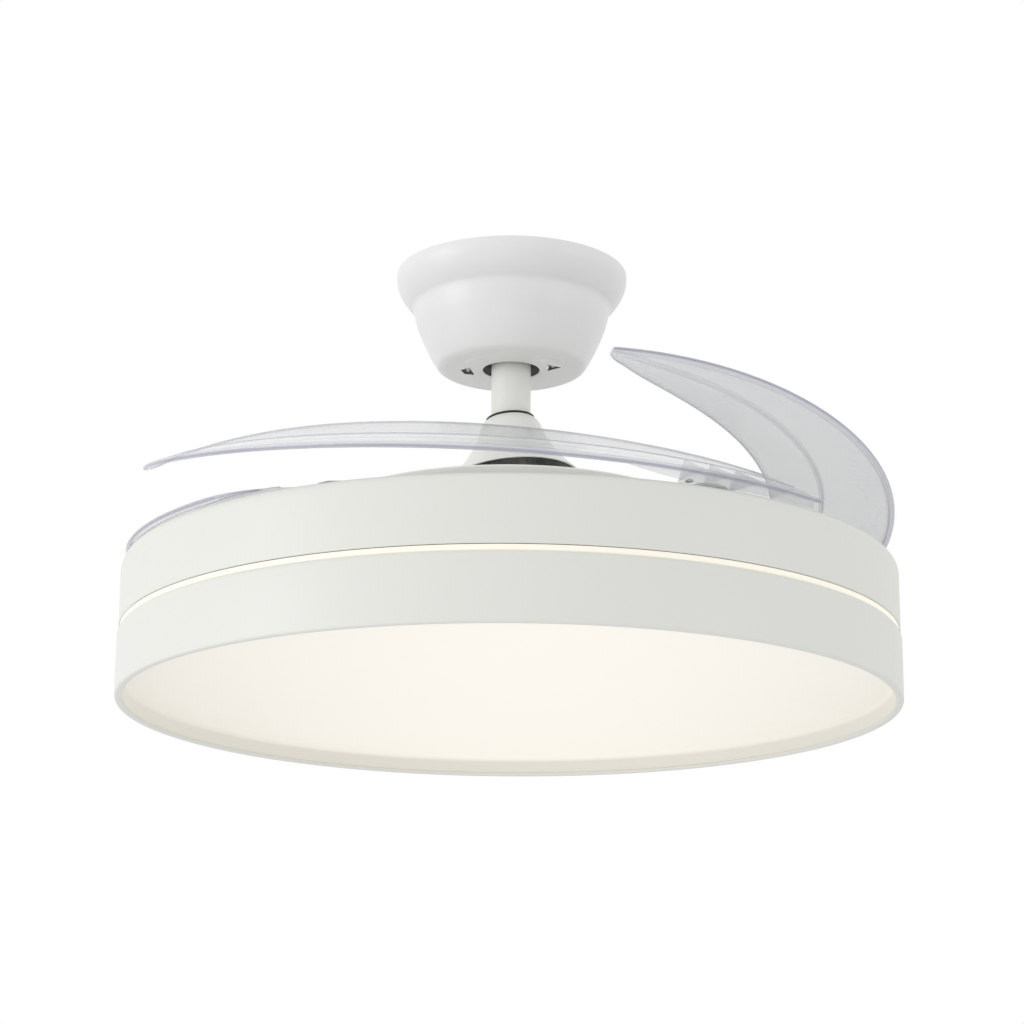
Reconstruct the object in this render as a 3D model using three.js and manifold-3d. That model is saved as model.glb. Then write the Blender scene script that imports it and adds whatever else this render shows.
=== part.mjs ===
// Ceiling fan with a ring lamp and four clear crescent blades that fold in over the lamp.
// Millimetres, +Z up. The origin is on the fan's axis in the plane of the ceiling.
// The viewer stands on the -Y side. Lamp heights are given above the lamp's lowest rim.
import * as THREE from "three";
import { mergeVertices } from "three/addons/utils/BufferGeometryUtils.js";
import Module from "manifold-3d";

const wasm = await Module();
wasm.setup();

// ---------------------------------------------------------------- driving dimensions

const TOTAL_DROP = 294;          // ceiling to the lamp's lowest rim
const LAMP_RADIUS = 250;         // outside of the lower band
const BAND_HEIGHT = 41.1;        // lower band
const GLOW_GAP = 4;              // lit slot between the two bands
const UPPER_BAND_HEIGHT = 42.1;
const CANOPY_RADIUS = 76.5;
const CANOPY_HEIGHT = 66;
const ROD_RADIUS = 13;
const SHAFT_RADIUS = 8.5;

const BLADE_COUNT = 4;
const BLADE_SWEEP_DEG = 127.6;   // from heel to tip, seen from the fan's axis
const HEEL_INSET = 2.5;          // the blades' heels lie this far inside the lamp's side
const PIVOT_REACH = 79.5;        // from a heel's outer edge in to the blade's pivot
const OUTER_RADIUS_HEEL = LAMP_RADIUS - HEEL_INSET;
const PIVOT_RADIUS = OUTER_RADIUS_HEEL - PIVOT_REACH;
const FIRST_PIVOT_DEG = -38.6;   // pivot of the front blade
const RUN_GAP = 0.4;             // between pieces that turn against each other
const SEAT_GAP = 0.3;            // between pieces that rest on each other

// How finely round things are cut
const BAND_STEPS = 60;
const BOWL_STEPS = 32;
const MOTOR_STEPS = 28;
const TUBE_STEPS = 20;
const SMALL_STEPS = 10;

const LAMP_TOP = BAND_HEIGHT + GLOW_GAP + UPPER_BAND_HEIGHT;

// ---------------------------------------------------------------- materials

const paint = (color, roughness) =>
  new THREE.MeshStandardMaterial({ color, roughness, metalness: 0 });
const metal = (color, roughness) =>
  new THREE.MeshStandardMaterial({ color, roughness, metalness: 1 });

const WHITE_PAINT = paint(0xeeefec, 0.45);
const CREAM_GLOW = new THREE.MeshStandardMaterial({
  color: 0xfff8e6,
  roughness: 0.5,
  metalness: 0,
  emissive: 0xfff4dc,
  emissiveIntensity: 0.9,
});
const OPAL_GLOW = new THREE.MeshStandardMaterial({
  color: 0xfaf6ea,
  roughness: 0.55,
  metalness: 0,
  emissive: 0xfff8ec,
  emissiveIntensity: 0.85,
});
const CLEAR_PLASTIC = new THREE.MeshStandardMaterial({
  color: 0xdfe1e8,
  roughness: 0.08,
  metalness: 0,
  transparent: true,
  opacity: 0.45,
});
const BLACK_PLASTIC = paint(0x1d1d1f, 0.6);
const GREY_PLASTIC = paint(0x56585a, 0.55);
const RUBBER = paint(0x141414, 0.85);
const STEEL = metal(0xb9bcc0, 0.35);
const ZINC = metal(0xc6c8c8, 0.42);
const CAST_ALUMINIUM = metal(0xa8aaab, 0.5);
const COPPER = metal(0xb4693a, 0.4);
const BOARD_WHITE = paint(0xf4f4f0, 0.5);

// ---------------------------------------------------------------- helpers

const group = new THREE.Group();
const RAD = THREE.MathUtils.degToRad;

// A height above the lamp's lowest rim, as a height from the ceiling.
const level = (height) => height - TOTAL_DROP;

function add(name, geometry, material) {
  const mesh = new THREE.Mesh(geometry, material);
  mesh.name = name;
  group.add(mesh);
  return mesh;
}

// A closed profile of [radius, z] points turned about the fan's axis. The points are put
// in anticlockwise order, with the radius to the right and z upwards: faces point out.
function turned(profile, steps) {
  const points = profile.map(([r, z]) => new THREE.Vector2(r, z));
  if (THREE.ShapeUtils.isClockWise(points)) {
    points.reverse();
  }
  const onAxis = profile[0][0] === 0 && profile.at(-1)[0] === 0;
  if (!onAxis) {
    points.push(points[0].clone());
  }
  const geometry = new THREE.LatheGeometry(points, steps);
  geometry.rotateX(Math.PI / 2);
  return geometry;
}

// A flat outline of [x, y] points, made thickness thick from z upwards.
function plate(outline, z, thickness, holes = []) {
  const shape = new THREE.Shape(outline.map(([x, y]) => new THREE.Vector2(x, y)));
  for (const hole of holes) {
    shape.holes.push(new THREE.Path(hole.map(([x, y]) => new THREE.Vector2(x, y))));
  }
  const geometry = new THREE.ExtrudeGeometry(shape, { depth: thickness, bevelEnabled: false });
  geometry.translate(0, 0, z);
  return geometry;
}

function box(x0, x1, y0, y1, z0, z1) {
  const geometry = new THREE.BoxGeometry(x1 - x0, y1 - y0, z1 - z0);
  geometry.translate((x0 + x1) / 2, (y0 + y1) / 2, (z0 + z1) / 2);
  return geometry;
}

function disc(x, y, radius, z0, z1, steps = SMALL_STEPS) {
  const geometry = new THREE.CylinderGeometry(radius, radius, z1 - z0, steps);
  geometry.rotateX(Math.PI / 2);
  geometry.translate(x, y, (z0 + z1) / 2);
  return geometry;
}

// Points on a circle arc, from one angle to another.
function arc(cx, cy, radius, from, to, steps) {
  return Array.from({ length: steps + 1 }, (_, i) => {
    const a = RAD(from + ((to - from) * i) / steps);
    return [cx + radius * Math.cos(a), cy + radius * Math.sin(a)];
  });
}

function ringOutline(cx, cy, radius, steps) {
  return arc(cx, cy, radius, 0, 360 - 360 / steps, steps - 1);
}

function toSolid(geometry) {
  const bare = new THREE.BufferGeometry();
  bare.setAttribute("position", geometry.getAttribute("position").clone());
  if (geometry.index) {
    bare.setIndex(geometry.index.clone());
  }
  const merged = mergeVertices(bare, 1e-4);
  return new wasm.Manifold(
    new wasm.Mesh({
      numProp: 3,
      vertProperties: new Float32Array(merged.getAttribute("position").array),
      triVerts: new Uint32Array(merged.index.array),
    }),
  );
}

function toGeometry(solid) {
  const mesh = solid.getMesh();
  const geometry = new THREE.BufferGeometry();
  geometry.setAttribute("position", new THREE.BufferAttribute(mesh.vertProperties, 3));
  geometry.setIndex(new THREE.BufferAttribute(mesh.triVerts, 1));
  geometry.computeVertexNormals();
  return geometry;
}

const joined = (...pieces) =>
  toGeometry(pieces.map(toSolid).reduce((sum, piece) => sum.add(piece)));

const cut = (body, ...tools) =>
  toGeometry(tools.map(toSolid).reduce((rest, tool) => rest.subtract(tool), toSolid(body)));

// The nth blade's copy of a piece that was drawn for a pivot on the +X axis.
function atPivot(geometry, index) {
  const copy = geometry.clone();
  copy.rotateZ(RAD(FIRST_PIVOT_DEG + (index * 360) / BLADE_COUNT));
  return copy;
}

// ---------------------------------------------------------------- ceiling end

const BALL_RADIUS = 22;
const BALL_HALF = 16.5;          // from the ball's middle to its flat ends
const BALL_Z = -40;
const SEAT_RADIUS = 27;
const SEAT_TOP = -38;
const SEAT_BOTTOM = -50;
const LEG_END = SEAT_BOTTOM + 3;
const STRAP_THICK = 2.5;
const STRAP_HALF_WIDTH = 12;
const STRAP_HALF_LENGTH = 58;
const MOUNT_HOLE_X = 46;
const MOUNT_HOLE_RADIUS = 3;
const CABLE_HOLE_X = 16;
const CABLE_HOLE_RADIUS = 7;
const LEG_X = 26.6;              // middle of each leg's foot
const FOOT_THICK = 2;
const FOOT_HALF_WIDTH = 9;
const CANOPY_WALL = 1.6;
// Pointed slots in the canopy's floor, and the bracket's tab [x0, x1, y0, y1] in each.
const SLOTS = [
  { outline: [[-32.8, -0.7], [-27.5, -5.8], [-24.9, 8.4], [-30.7, 6.4]], tab: [-29.6, -27.6, -2.5, 4] },
  { outline: [[24, -12.8], [32, -7.6], [24.2, -0.8], [25.3, -7.9]], tab: [26.6, 28.6, -9, -5.3] },
];
const RECEIVER = { halfLength: 32, near: 24, far: 44, height: 22 };

// Radius of the ball's surface, or of its seat, at a height.
const ballAt = (z, extra) => Math.sqrt((BALL_RADIUS + extra) ** 2 - (z - BALL_Z) ** 2);

function hangerBracket() {
  const seatSteps = [SEAT_TOP, SEAT_TOP - 6, SEAT_BOTTOM];
  const bore = seatSteps.map((z) => [ballAt(z, RUN_GAP), z]);
  const ring = turned(
    [[SEAT_RADIUS, SEAT_BOTTOM], [SEAT_RADIUS, SEAT_TOP], ...bore],
    TUBE_STEPS,
  );
  const strap = box(
    -STRAP_HALF_LENGTH, STRAP_HALF_LENGTH,
    -STRAP_HALF_WIDTH, STRAP_HALF_WIDTH,
    -STRAP_THICK, 0,
  );
  const pieces = [ring];
  for (const side of [-1, 1]) {
    const outer = side * (SEAT_RADIUS + 1);
    const inner = side * (SEAT_RADIUS - 1.5);
    const [x0, x1] = [Math.min(outer, inner), Math.max(outer, inner)];
    pieces.push(box(x0, x1, -STRAP_HALF_WIDTH, STRAP_HALF_WIDTH, SEAT_BOTTOM + 1, -1));
    // Each leg's foot stands on the canopy's floor.
    const foot = [side * LEG_X - FOOT_THICK / 2, side * LEG_X + FOOT_THICK / 2];
    const floor = -CANOPY_HEIGHT + CANOPY_WALL + SEAT_GAP;
    pieces.push(box(...foot, -FOOT_HALF_WIDTH, FOOT_HALF_WIDTH, floor, LEG_END));
  }
  pieces.push(...SLOTS.map(({ tab }) => box(...tab, -CANOPY_HEIGHT + 0.6, LEG_END)));
  // A wing beside the strap carries the receiver box.
  pieces.push(box(-20, 20, 0, RECEIVER.far - 4, -STRAP_THICK, 0));
  const holes = [-1, 1].map((side) =>
    disc(side * MOUNT_HOLE_X, 0, MOUNT_HOLE_RADIUS, -STRAP_THICK - 1, 1),
  );
  const cableHole = disc(CABLE_HOLE_X, 0, CABLE_HOLE_RADIUS, -STRAP_THICK - 1, 1);
  return cut(joined(strap, ...pieces), ...holes, cableHole);
}
add("hanger_bracket", hangerBracket(), ZINC);

const receiverTop = -STRAP_THICK - SEAT_GAP;
add(
  "receiver_box",
  box(
    -RECEIVER.halfLength, RECEIVER.halfLength,
    RECEIVER.near, RECEIVER.far,
    receiverTop - RECEIVER.height, receiverTop,
  ),
  BLACK_PLASTIC,
);

// The bowl: rolled lip under the ceiling, then a curved wall to a flat bottom.
const CANOPY_HOLE_RADIUS = 18.7;
const CANOPY_OUTSIDE = [
  [CANOPY_RADIUS, 0],
  [CANOPY_RADIUS, -8.5],
  [CANOPY_RADIUS - 3.3, -16.3],
  [CANOPY_RADIUS - 10.6, -25],
  [62.2, -37.4],
  [59, -45.8],
  [55.5, -54],
  [51, -61],
  [46.5, -64.8],
  [41.5, -CANOPY_HEIGHT],
];
const CANOPY_INSIDE = [
  [41, -CANOPY_HEIGHT + CANOPY_WALL],
  [49.4, -60],
  [57.3, -45.8],
  [CANOPY_RADIUS - 12.3, -25],
  [CANOPY_RADIUS - 5, -16.3],
  [CANOPY_RADIUS - CANOPY_WALL, -8.5],
  [CANOPY_RADIUS - CANOPY_WALL, 0],
];

function canopy() {
  const profile = [
    [CANOPY_HOLE_RADIUS, -CANOPY_HEIGHT + CANOPY_WALL],
    ...CANOPY_INSIDE,
    ...CANOPY_OUTSIDE,
    [CANOPY_HOLE_RADIUS, -CANOPY_HEIGHT],
  ];
  const bowl = turned(profile, BOWL_STEPS);
  const slots = SLOTS.map(({ outline }) => plate(outline, -CANOPY_HEIGHT - 2, CANOPY_WALL + 4));
  return cut(bowl, ...slots);
}
add("canopy", canopy(), WHITE_PAINT);

const ROD_TOP = -16;
const ROD_BOTTOM = level(172);
const ROD_WALL = 2;
const BALL_PIN_Z = -24;
const BALL_PIN_RADIUS = 3;
const BALL_PIN_HALF = 19;

function crossPin(z, radius, half) {
  const pin = new THREE.CylinderGeometry(radius, radius, 2 * half, SMALL_STEPS);
  pin.rotateY(RAD(15));
  pin.translate(0, 0, z);
  return pin;
}

const PIN_SLOT_DEPTH = 8;

function hangerBall() {
  const rows = [-BALL_HALF, -12, -6, 0, 6, 12, BALL_HALF];
  const outside = rows.map((dz) => [ballAt(BALL_Z + dz, 0), BALL_Z + dz]);
  const bore = ROD_RADIUS + SEAT_GAP;
  const ends = [[bore, BALL_Z + BALL_HALF], [bore, BALL_Z - BALL_HALF]];
  const ball = turned([...outside, ...ends], TUBE_STEPS);
  const slotBottom = BALL_PIN_Z - BALL_PIN_RADIUS - SEAT_GAP;
  const slotHalf = BALL_PIN_RADIUS + SEAT_GAP;
  const slot = box(-slotHalf, slotHalf, -30, 30, slotBottom, slotBottom + PIN_SLOT_DEPTH);
  return cut(ball, slot);
}
add("hanger_ball", hangerBall(), BLACK_PLASTIC);
add("ball_pin", crossPin(BALL_PIN_Z, BALL_PIN_RADIUS, BALL_PIN_HALF), STEEL);

const COUPLING_BOLT_RADIUS = 3;
const COUPLING_BOLT_Z = ROD_BOTTOM + 5;

function downrod() {
  const tube = turned(
    [
      [ROD_RADIUS - ROD_WALL, ROD_BOTTOM],
      [ROD_RADIUS, ROD_BOTTOM],
      [ROD_RADIUS, ROD_TOP],
      [ROD_RADIUS - ROD_WALL, ROD_TOP],
    ],
    TUBE_STEPS,
  );
  const upper = crossPin(BALL_PIN_Z, BALL_PIN_RADIUS + SEAT_GAP, 30);
  const lower = crossPin(COUPLING_BOLT_Z, COUPLING_BOLT_RADIUS + SEAT_GAP, 30);
  return cut(tube, upper, lower);
}
add("downrod", downrod(), WHITE_PAINT);

// ---------------------------------------------------------------- coupling under the rod

const COVER_TOP = level(193.2);
const CROWN_BORE = ROD_RADIUS + 0.9;
const COVER_OUTSIDE = [
  [CROWN_BORE, 0],
  [ROD_RADIUS + 4, -0.9],
  [ROD_RADIUS + 6.4, -4],
  [ROD_RADIUS + 7.9, -8],
  [ROD_RADIUS + 10.2, -14.5],
  [ROD_RADIUS + 13.9, -21],
  [ROD_RADIUS + 18.4, -27.6],
  [ROD_RADIUS + 23.4, -34.2],
  [ROD_RADIUS + 29.6, -40.9],
];
const COVER_INSIDE = [
  [ROD_RADIUS + 28, -40.9],
  [ROD_RADIUS + 16.8, -28.2],
  [ROD_RADIUS + 8.8, -15.6],
  [ROD_RADIUS + 6.1, -8.6],
  [ROD_RADIUS + 2.4, -2.4],
  [CROWN_BORE, -2.4],
];

// The loose cover leans on the rod: its lower rim hangs to the right and its near side
// is raised.
const COVER_TILT_DEG = 4.4;
const COVER_LEAN_DEG = 4;
const COVER_SHIFT = 0.36;

function leaning(geometry) {
  geometry.translate(0, 0, -COVER_TOP);
  geometry.rotateY(-RAD(COVER_TILT_DEG));
  geometry.rotateX(-RAD(COVER_LEAN_DEG));
  geometry.translate(-COVER_SHIFT, 0, COVER_TOP);
  return geometry;
}

function couplingCover() {
  const profile = [...COVER_OUTSIDE, ...COVER_INSIDE];
  return leaning(turned(profile.map(([r, dz]) => [r, COVER_TOP + dz]), MOTOR_STEPS));
}
add("coupling_cover", couplingCover(), WHITE_PAINT);

// A thin rubber ring lies on the cover's crown.
const GASKET_THICK = 1.3;
const GASKET_RADIUS = CROWN_BORE + 2.1;
add(
  "cover_gasket",
  leaning(
    turned(
      [
        [CROWN_BORE, COVER_TOP + SEAT_GAP],
        [GASKET_RADIUS, COVER_TOP + SEAT_GAP],
        [GASKET_RADIUS, COVER_TOP + SEAT_GAP + GASKET_THICK],
        [CROWN_BORE, COVER_TOP + SEAT_GAP + GASKET_THICK],
      ],
      TUBE_STEPS,
    ),
  ),
  RUBBER,
);

const SLEEVE_RADIUS = 17;
const SLEEVE_BOTTOM = level(146);
const SLEEVE_TOP = level(183);
const SHAFT_TOP = level(166);
const CLAMP_X = 7.6;
const CLAMP_THICK = 4;
const CLAMP_REACH = 5;
const CLAMP_BELOW_TOP = 14;

function motorCoupling() {
  const rodBore = ROD_RADIUS + SEAT_GAP;
  const shaftBore = SHAFT_RADIUS + SEAT_GAP;
  const step = ROD_BOTTOM - SEAT_GAP;
  const sleeve = turned(
    [
      [shaftBore, SLEEVE_BOTTOM],
      [SLEEVE_RADIUS, SLEEVE_BOTTOM],
      [SLEEVE_RADIUS, SLEEVE_TOP],
      [rodBore, SLEEVE_TOP],
      [rodBore, step],
      [shaftBore, step],
    ],
    TUBE_STEPS,
  );
  // A clamp rib stands out on the near side of the sleeve.
  const rib = box(
    CLAMP_X - CLAMP_THICK / 2, CLAMP_X + CLAMP_THICK / 2,
    -SLEEVE_RADIUS - CLAMP_REACH, -SLEEVE_RADIUS + 2,
    SLEEVE_BOTTOM, SLEEVE_TOP - CLAMP_BELOW_TOP,
  );
  const bolt = crossPin(COUPLING_BOLT_Z, COUPLING_BOLT_RADIUS + SEAT_GAP, 30);
  return cut(joined(sleeve, rib), bolt);
}
add("motor_coupling", motorCoupling(), STEEL);
add("coupling_bolt", crossPin(COUPLING_BOLT_Z, COUPLING_BOLT_RADIUS, SLEEVE_RADIUS + 2), STEEL);

const SHAFT_BOTTOM = level(70);
add(
  "motor_shaft",
  turned(
    [
      [SHAFT_RADIUS - 3, SHAFT_BOTTOM],
      [SHAFT_RADIUS, SHAFT_BOTTOM],
      [SHAFT_RADIUS, SHAFT_TOP],
      [SHAFT_RADIUS - 3, SHAFT_TOP],
    ],
    TUBE_STEPS,
  ),
  STEEL,
);

// ---------------------------------------------------------------- motor

const CARRIER_BOTTOM = level(95);
const CARRIER_THICK = 3;
const CARRIER_TOP = CARRIER_BOTTOM + CARRIER_THICK;
const HOUSING_BOTTOM = CARRIER_TOP + SEAT_GAP;
const HOUSING_RADIUS = 92.5;
const HOUSING_WALL = 2.5;
const HOUSING_SPLIT = level(113);
const HOUSING_TOP = level(131);
const BEARING_RADIUS = 16.9;
const HUB_RADIUS = 20;
const LEDGE_RADIUS = 104;        // the sync ring lies on this ledge
const GUIDE_RADIUS = 99.4;       // and turns round this shoulder
const SYNC_BOTTOM = level(101.6);
const SYNC_THICK = 3;

const HOUSING_INNER = HOUSING_RADIUS - HOUSING_WALL;
const HUB_BORE = BEARING_RADIUS + SEAT_GAP;

add(
  "rotor_housing_bottom",
  turned(
    [
      [HUB_BORE, HOUSING_BOTTOM],
      [LEDGE_RADIUS, HOUSING_BOTTOM],
      [LEDGE_RADIUS, SYNC_BOTTOM - RUN_GAP],
      [GUIDE_RADIUS, SYNC_BOTTOM - RUN_GAP],
      [GUIDE_RADIUS, SYNC_BOTTOM + SYNC_THICK + 1],
      [HOUSING_RADIUS, SYNC_BOTTOM + SYNC_THICK + 1],
      [HOUSING_RADIUS, HOUSING_SPLIT],
      [HOUSING_INNER, HOUSING_SPLIT],
      [HOUSING_INNER, HOUSING_BOTTOM + HOUSING_WALL],
      [HUB_RADIUS, HOUSING_BOTTOM + HOUSING_WALL],
      [HUB_RADIUS, HOUSING_BOTTOM + 9],
      [HUB_BORE, HOUSING_BOTTOM + 9],
    ],
    MOTOR_STEPS,
  ),
  CAST_ALUMINIUM,
);

// The upper housing ends in a wide painted lid with a short skirt.
const CROWN_RADIUS = 60;
const LID_RADIUS = 124;
const LID_EDGE = level(126.4);
const LID_SKIRT = 6;
const LID_WALL = 1.6;
add(
  "rotor_housing_top",
  turned(
    [
      [HUB_BORE, HOUSING_TOP - 9],
      [HUB_RADIUS, HOUSING_TOP - 9],
      [HUB_RADIUS, HOUSING_TOP - HOUSING_WALL],
      [HOUSING_INNER, LID_EDGE - LID_WALL],
      [HOUSING_INNER, HOUSING_SPLIT + SEAT_GAP],
      [HOUSING_RADIUS, HOUSING_SPLIT + SEAT_GAP],
      [HOUSING_RADIUS, LID_EDGE - LID_WALL],
      [LID_RADIUS - LID_WALL, LID_EDGE - LID_WALL],
      [LID_RADIUS - LID_WALL, LID_EDGE - LID_SKIRT],
      [LID_RADIUS, LID_EDGE - LID_SKIRT],
      [LID_RADIUS, LID_EDGE],
      [LID_RADIUS - 1.5, LID_EDGE + 1.2],
      [CROWN_RADIUS, HOUSING_TOP],
      [HUB_BORE, HOUSING_TOP],
    ],
    MOTOR_STEPS,
  ),
  WHITE_PAINT,
);

const BEARING_WIDTH = 8;
for (const [name, bottom] of [
  ["bearing_lower", HOUSING_BOTTOM + 0.5],
  ["bearing_upper", HOUSING_TOP - BEARING_WIDTH - 0.5],
]) {
  const bore = SHAFT_RADIUS + RUN_GAP;
  add(
    name,
    turned(
      [
        [bore, bottom],
        [BEARING_RADIUS, bottom],
        [BEARING_RADIUS, bottom + BEARING_WIDTH],
        [bore, bottom + BEARING_WIDTH],
      ],
      TUBE_STEPS,
    ),
    STEEL,
  );
}

const STATOR_RADIUS = 81;
const STATOR_BOTTOM = level(109.6);
const STATOR_THICK = 10.8;
const POLE_COUNT = 12;

// Laminated core: a hub ring, narrow pole necks and wide pole shoes.
function statorCore() {
  const outline = [];
  for (let pole = 0; pole < POLE_COUNT; pole += 1) {
    const centre = (pole * 360) / POLE_COUNT;
    const corners = [
      [30, -8], [73, -4], [75, -12.5], [STATOR_RADIUS, -12.5],
      [STATOR_RADIUS, 12.5], [75, 12.5], [73, 4], [30, 8],
    ];
    for (const [r, offset] of corners) {
      const a = RAD(centre + offset);
      outline.push([r * Math.cos(a), r * Math.sin(a)]);
    }
  }
  const bore = ringOutline(0, 0, SHAFT_RADIUS + SEAT_GAP, TUBE_STEPS);
  return plate(outline, STATOR_BOTTOM, STATOR_THICK, [bore]);
}
add("stator_core", statorCore(), STEEL);

const WINDING_THICK = 3.2;
for (const [name, bottom] of [
  ["winding_upper", STATOR_BOTTOM + STATOR_THICK + SEAT_GAP],
  ["winding_lower", STATOR_BOTTOM - WINDING_THICK - SEAT_GAP],
]) {
  add(
    name,
    turned(
      [
        [42, bottom],
        [68, bottom],
        [68, bottom + WINDING_THICK],
        [42, bottom + WINDING_THICK],
      ],
      TUBE_STEPS,
    ),
    COPPER,
  );
}

const MAGNET_INNER = STATOR_RADIUS + 1;
add(
  "rotor_magnets",
  turned(
    [
      [MAGNET_INNER, HOUSING_BOTTOM + HOUSING_WALL + SEAT_GAP],
      [HOUSING_INNER - SEAT_GAP, HOUSING_BOTTOM + HOUSING_WALL + SEAT_GAP],
      [HOUSING_INNER - SEAT_GAP, level(119.5)],
      [MAGNET_INNER, level(119.5)],
    ],
    MOTOR_STEPS,
  ),
  BLACK_PLASTIC,
);

// ---------------------------------------------------------------- blade pivots

const PIN_RADIUS = 4;
const PIN_BORE = PIN_RADIUS / Math.cos(Math.PI / SMALL_STEPS) + RUN_GAP;
const BOSS_RADIUS = 8;
const ARM_BOTTOM = CARRIER_TOP + RUN_GAP;
const ARM_THICK = 3;
const ARM_HALF_WIDTH = 12;
const ARM_LENGTH = 62;
const ARM_DIRECTION_DEG = -66;   // from the pivot, with 0 pointing away from the fan's axis
const SECTOR_TOP = level(105.2);
const BOSS_TOP = level(111.6);
const OPENING_DEG = 120;

// Gear pair: the toothed sector on each arm turns the sync ring, and so the other arms.
const SECTOR_TEETH = 16;         // if the sector went all the way round
const SYNC_TEETH = 96;
const GEAR_MODULE = (2 * PIVOT_RADIUS) / (SYNC_TEETH + SECTOR_TEETH);
const SECTOR_PITCH = (GEAR_MODULE * SECTOR_TEETH) / 2;
const SYNC_PITCH = PIVOT_RADIUS - SECTOR_PITCH;
const BACKLASH = 0.9;
const PRESSURE_DEG = 20;

// Outline points of one gear tooth standing at an angle, from root to root.
function tooth(pitchRadius, teeth, centreDeg) {
  const base = pitchRadius * Math.cos(RAD(PRESSURE_DEG));
  const inv = (a) => Math.tan(a) - a;
  const halfAtPitch = ((Math.PI * GEAR_MODULE) / 2 - BACKLASH) / 2 / pitchRadius;
  const root = pitchRadius - 1.2 * GEAR_MODULE;
  const tip = pitchRadius + 0.85 * GEAR_MODULE;
  const radii = [root, pitchRadius, tip];
  const flank = radii.map((r) => {
    const roll = Math.acos(Math.min(1, base / Math.max(r, base)));
    return [r, halfAtPitch + inv(RAD(PRESSURE_DEG)) - inv(roll)];
  });
  const point = (r, a) => [r * Math.cos(RAD(centreDeg) + a), r * Math.sin(RAD(centreDeg) + a)];
  const rising = flank.map(([r, half]) => point(r, -half));
  const falling = [...flank].reverse().map(([r, half]) => point(r, half));
  return [...rising, ...falling];
}

const RING_BORE = GUIDE_RADIUS / Math.cos(Math.PI / MOTOR_STEPS) + RUN_GAP;
const SYNC_TRAVEL_DEG = (OPENING_DEG * SECTOR_TEETH) / SYNC_TEETH;

// The ring has teeth only where the four sectors reach it.
function syncRing() {
  const outline = [];
  const pitchDeg = 360 / SYNC_TEETH;
  const root = SYNC_PITCH - 1.2 * GEAR_MODULE;
  for (let index = 0; index < BLADE_COUNT; index += 1) {
    const pivotDeg = FIRST_PIVOT_DEG + (index * 360) / BLADE_COUNT;
    const lastTooth = Math.ceil(SYNC_TRAVEL_DEG / pitchDeg);
    for (let k = -1; k <= lastTooth; k += 1) {
      outline.push(...tooth(SYNC_PITCH, SYNC_TEETH, pivotDeg + (k + 0.5) * pitchDeg));
    }
    const from = pivotDeg + (lastTooth + 1.2) * pitchDeg;
    const to = pivotDeg + 360 / BLADE_COUNT - 1.4 * pitchDeg;
    outline.push(...arc(0, 0, root, from, to, 6));
  }
  const bore = ringOutline(0, 0, RING_BORE, MOTOR_STEPS);
  return plate(outline, SYNC_BOTTOM, SYNC_THICK, [bore]);
}
add("sync_ring", syncRing(), GREY_PLASTIC);

// Arm with its boss and sector. Drawn for a pivot on +X and for the folded blade.
function hingeArm() {
  const a = RAD(ARM_DIRECTION_DEG);
  const end = [PIVOT_RADIUS + ARM_LENGTH * Math.cos(a), ARM_LENGTH * Math.sin(a)];
  const armOutline = [
    ...arc(PIVOT_RADIUS, 0, ARM_HALF_WIDTH, ARM_DIRECTION_DEG + 90, ARM_DIRECTION_DEG + 270, 6),
    ...arc(end[0], end[1], ARM_HALF_WIDTH, ARM_DIRECTION_DEG - 90, ARM_DIRECTION_DEG + 90, 4),
  ];
  const arm = plate(armOutline, ARM_BOTTOM, ARM_THICK);
  const pitchDeg = 360 / SECTOR_TEETH;
  const toothCount = Math.ceil(OPENING_DEG / pitchDeg);
  const sectorOutline = [[0, 0]];
  for (let k = -toothCount; k <= 1; k += 1) {
    sectorOutline.push(...tooth(SECTOR_PITCH, SECTOR_TEETH, 180 + k * pitchDeg));
  }
  const moved = sectorOutline.map(([x, y]) => [x + PIVOT_RADIUS, y]);
  const sector = plate(moved, ARM_BOTTOM + 1, SECTOR_TOP - ARM_BOTTOM - 1);
  const boss = disc(PIVOT_RADIUS, 0, BOSS_RADIUS, ARM_BOTTOM + 1, BOSS_TOP, SMALL_STEPS);
  const bore = disc(PIVOT_RADIUS, 0, PIN_BORE, ARM_BOTTOM - 1, BOSS_TOP + 1);
  return cut(joined(arm, sector, boss), bore);
}

const PIN_HEAD_RADIUS = 7;
const PIN_HEAD_THICK = 1.6;
const CAP_RADIUS = 12.5;

function pivotPin() {
  const headTop = CARRIER_BOTTOM - SEAT_GAP;
  const capBottom = BOSS_TOP + RUN_GAP;
  const profile = [
    [0, headTop - PIN_HEAD_THICK],
    [PIN_HEAD_RADIUS, headTop - PIN_HEAD_THICK],
    [PIN_HEAD_RADIUS, headTop],
    [PIN_RADIUS, headTop],
    [PIN_RADIUS, capBottom],
    [CAP_RADIUS, capBottom],
    [CAP_RADIUS, capBottom + PIN_HEAD_THICK / 2],
    [PIN_HEAD_RADIUS, capBottom + PIN_HEAD_THICK],
    [0, capBottom + PIN_HEAD_THICK],
  ];
  const points = profile.map(([r, z]) => new THREE.Vector2(r, z));
  const geometry = new THREE.LatheGeometry(points, SMALL_STEPS);
  geometry.rotateX(Math.PI / 2);
  geometry.translate(PIVOT_RADIUS, 0, 0);
  return geometry;
}

// Torsion spring: one unbroken helix of wire round the boss.
const WIRE_RADIUS = 0.9;
const COIL_RADIUS = BOSS_RADIUS + WIRE_RADIUS + 1.3;
const COIL_PITCH = 2.4;
const COIL_TURNS = 1.5;
const COIL_START = SECTOR_TOP + 1.4;

class Helix extends THREE.Curve {
  getPoint(t, target = new THREE.Vector3()) {
    const a = 2 * Math.PI * COIL_TURNS * t;
    return target.set(
      PIVOT_RADIUS + COIL_RADIUS * Math.cos(a),
      COIL_RADIUS * Math.sin(a),
      COIL_START + COIL_PITCH * COIL_TURNS * t,
    );
  }
}

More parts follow.
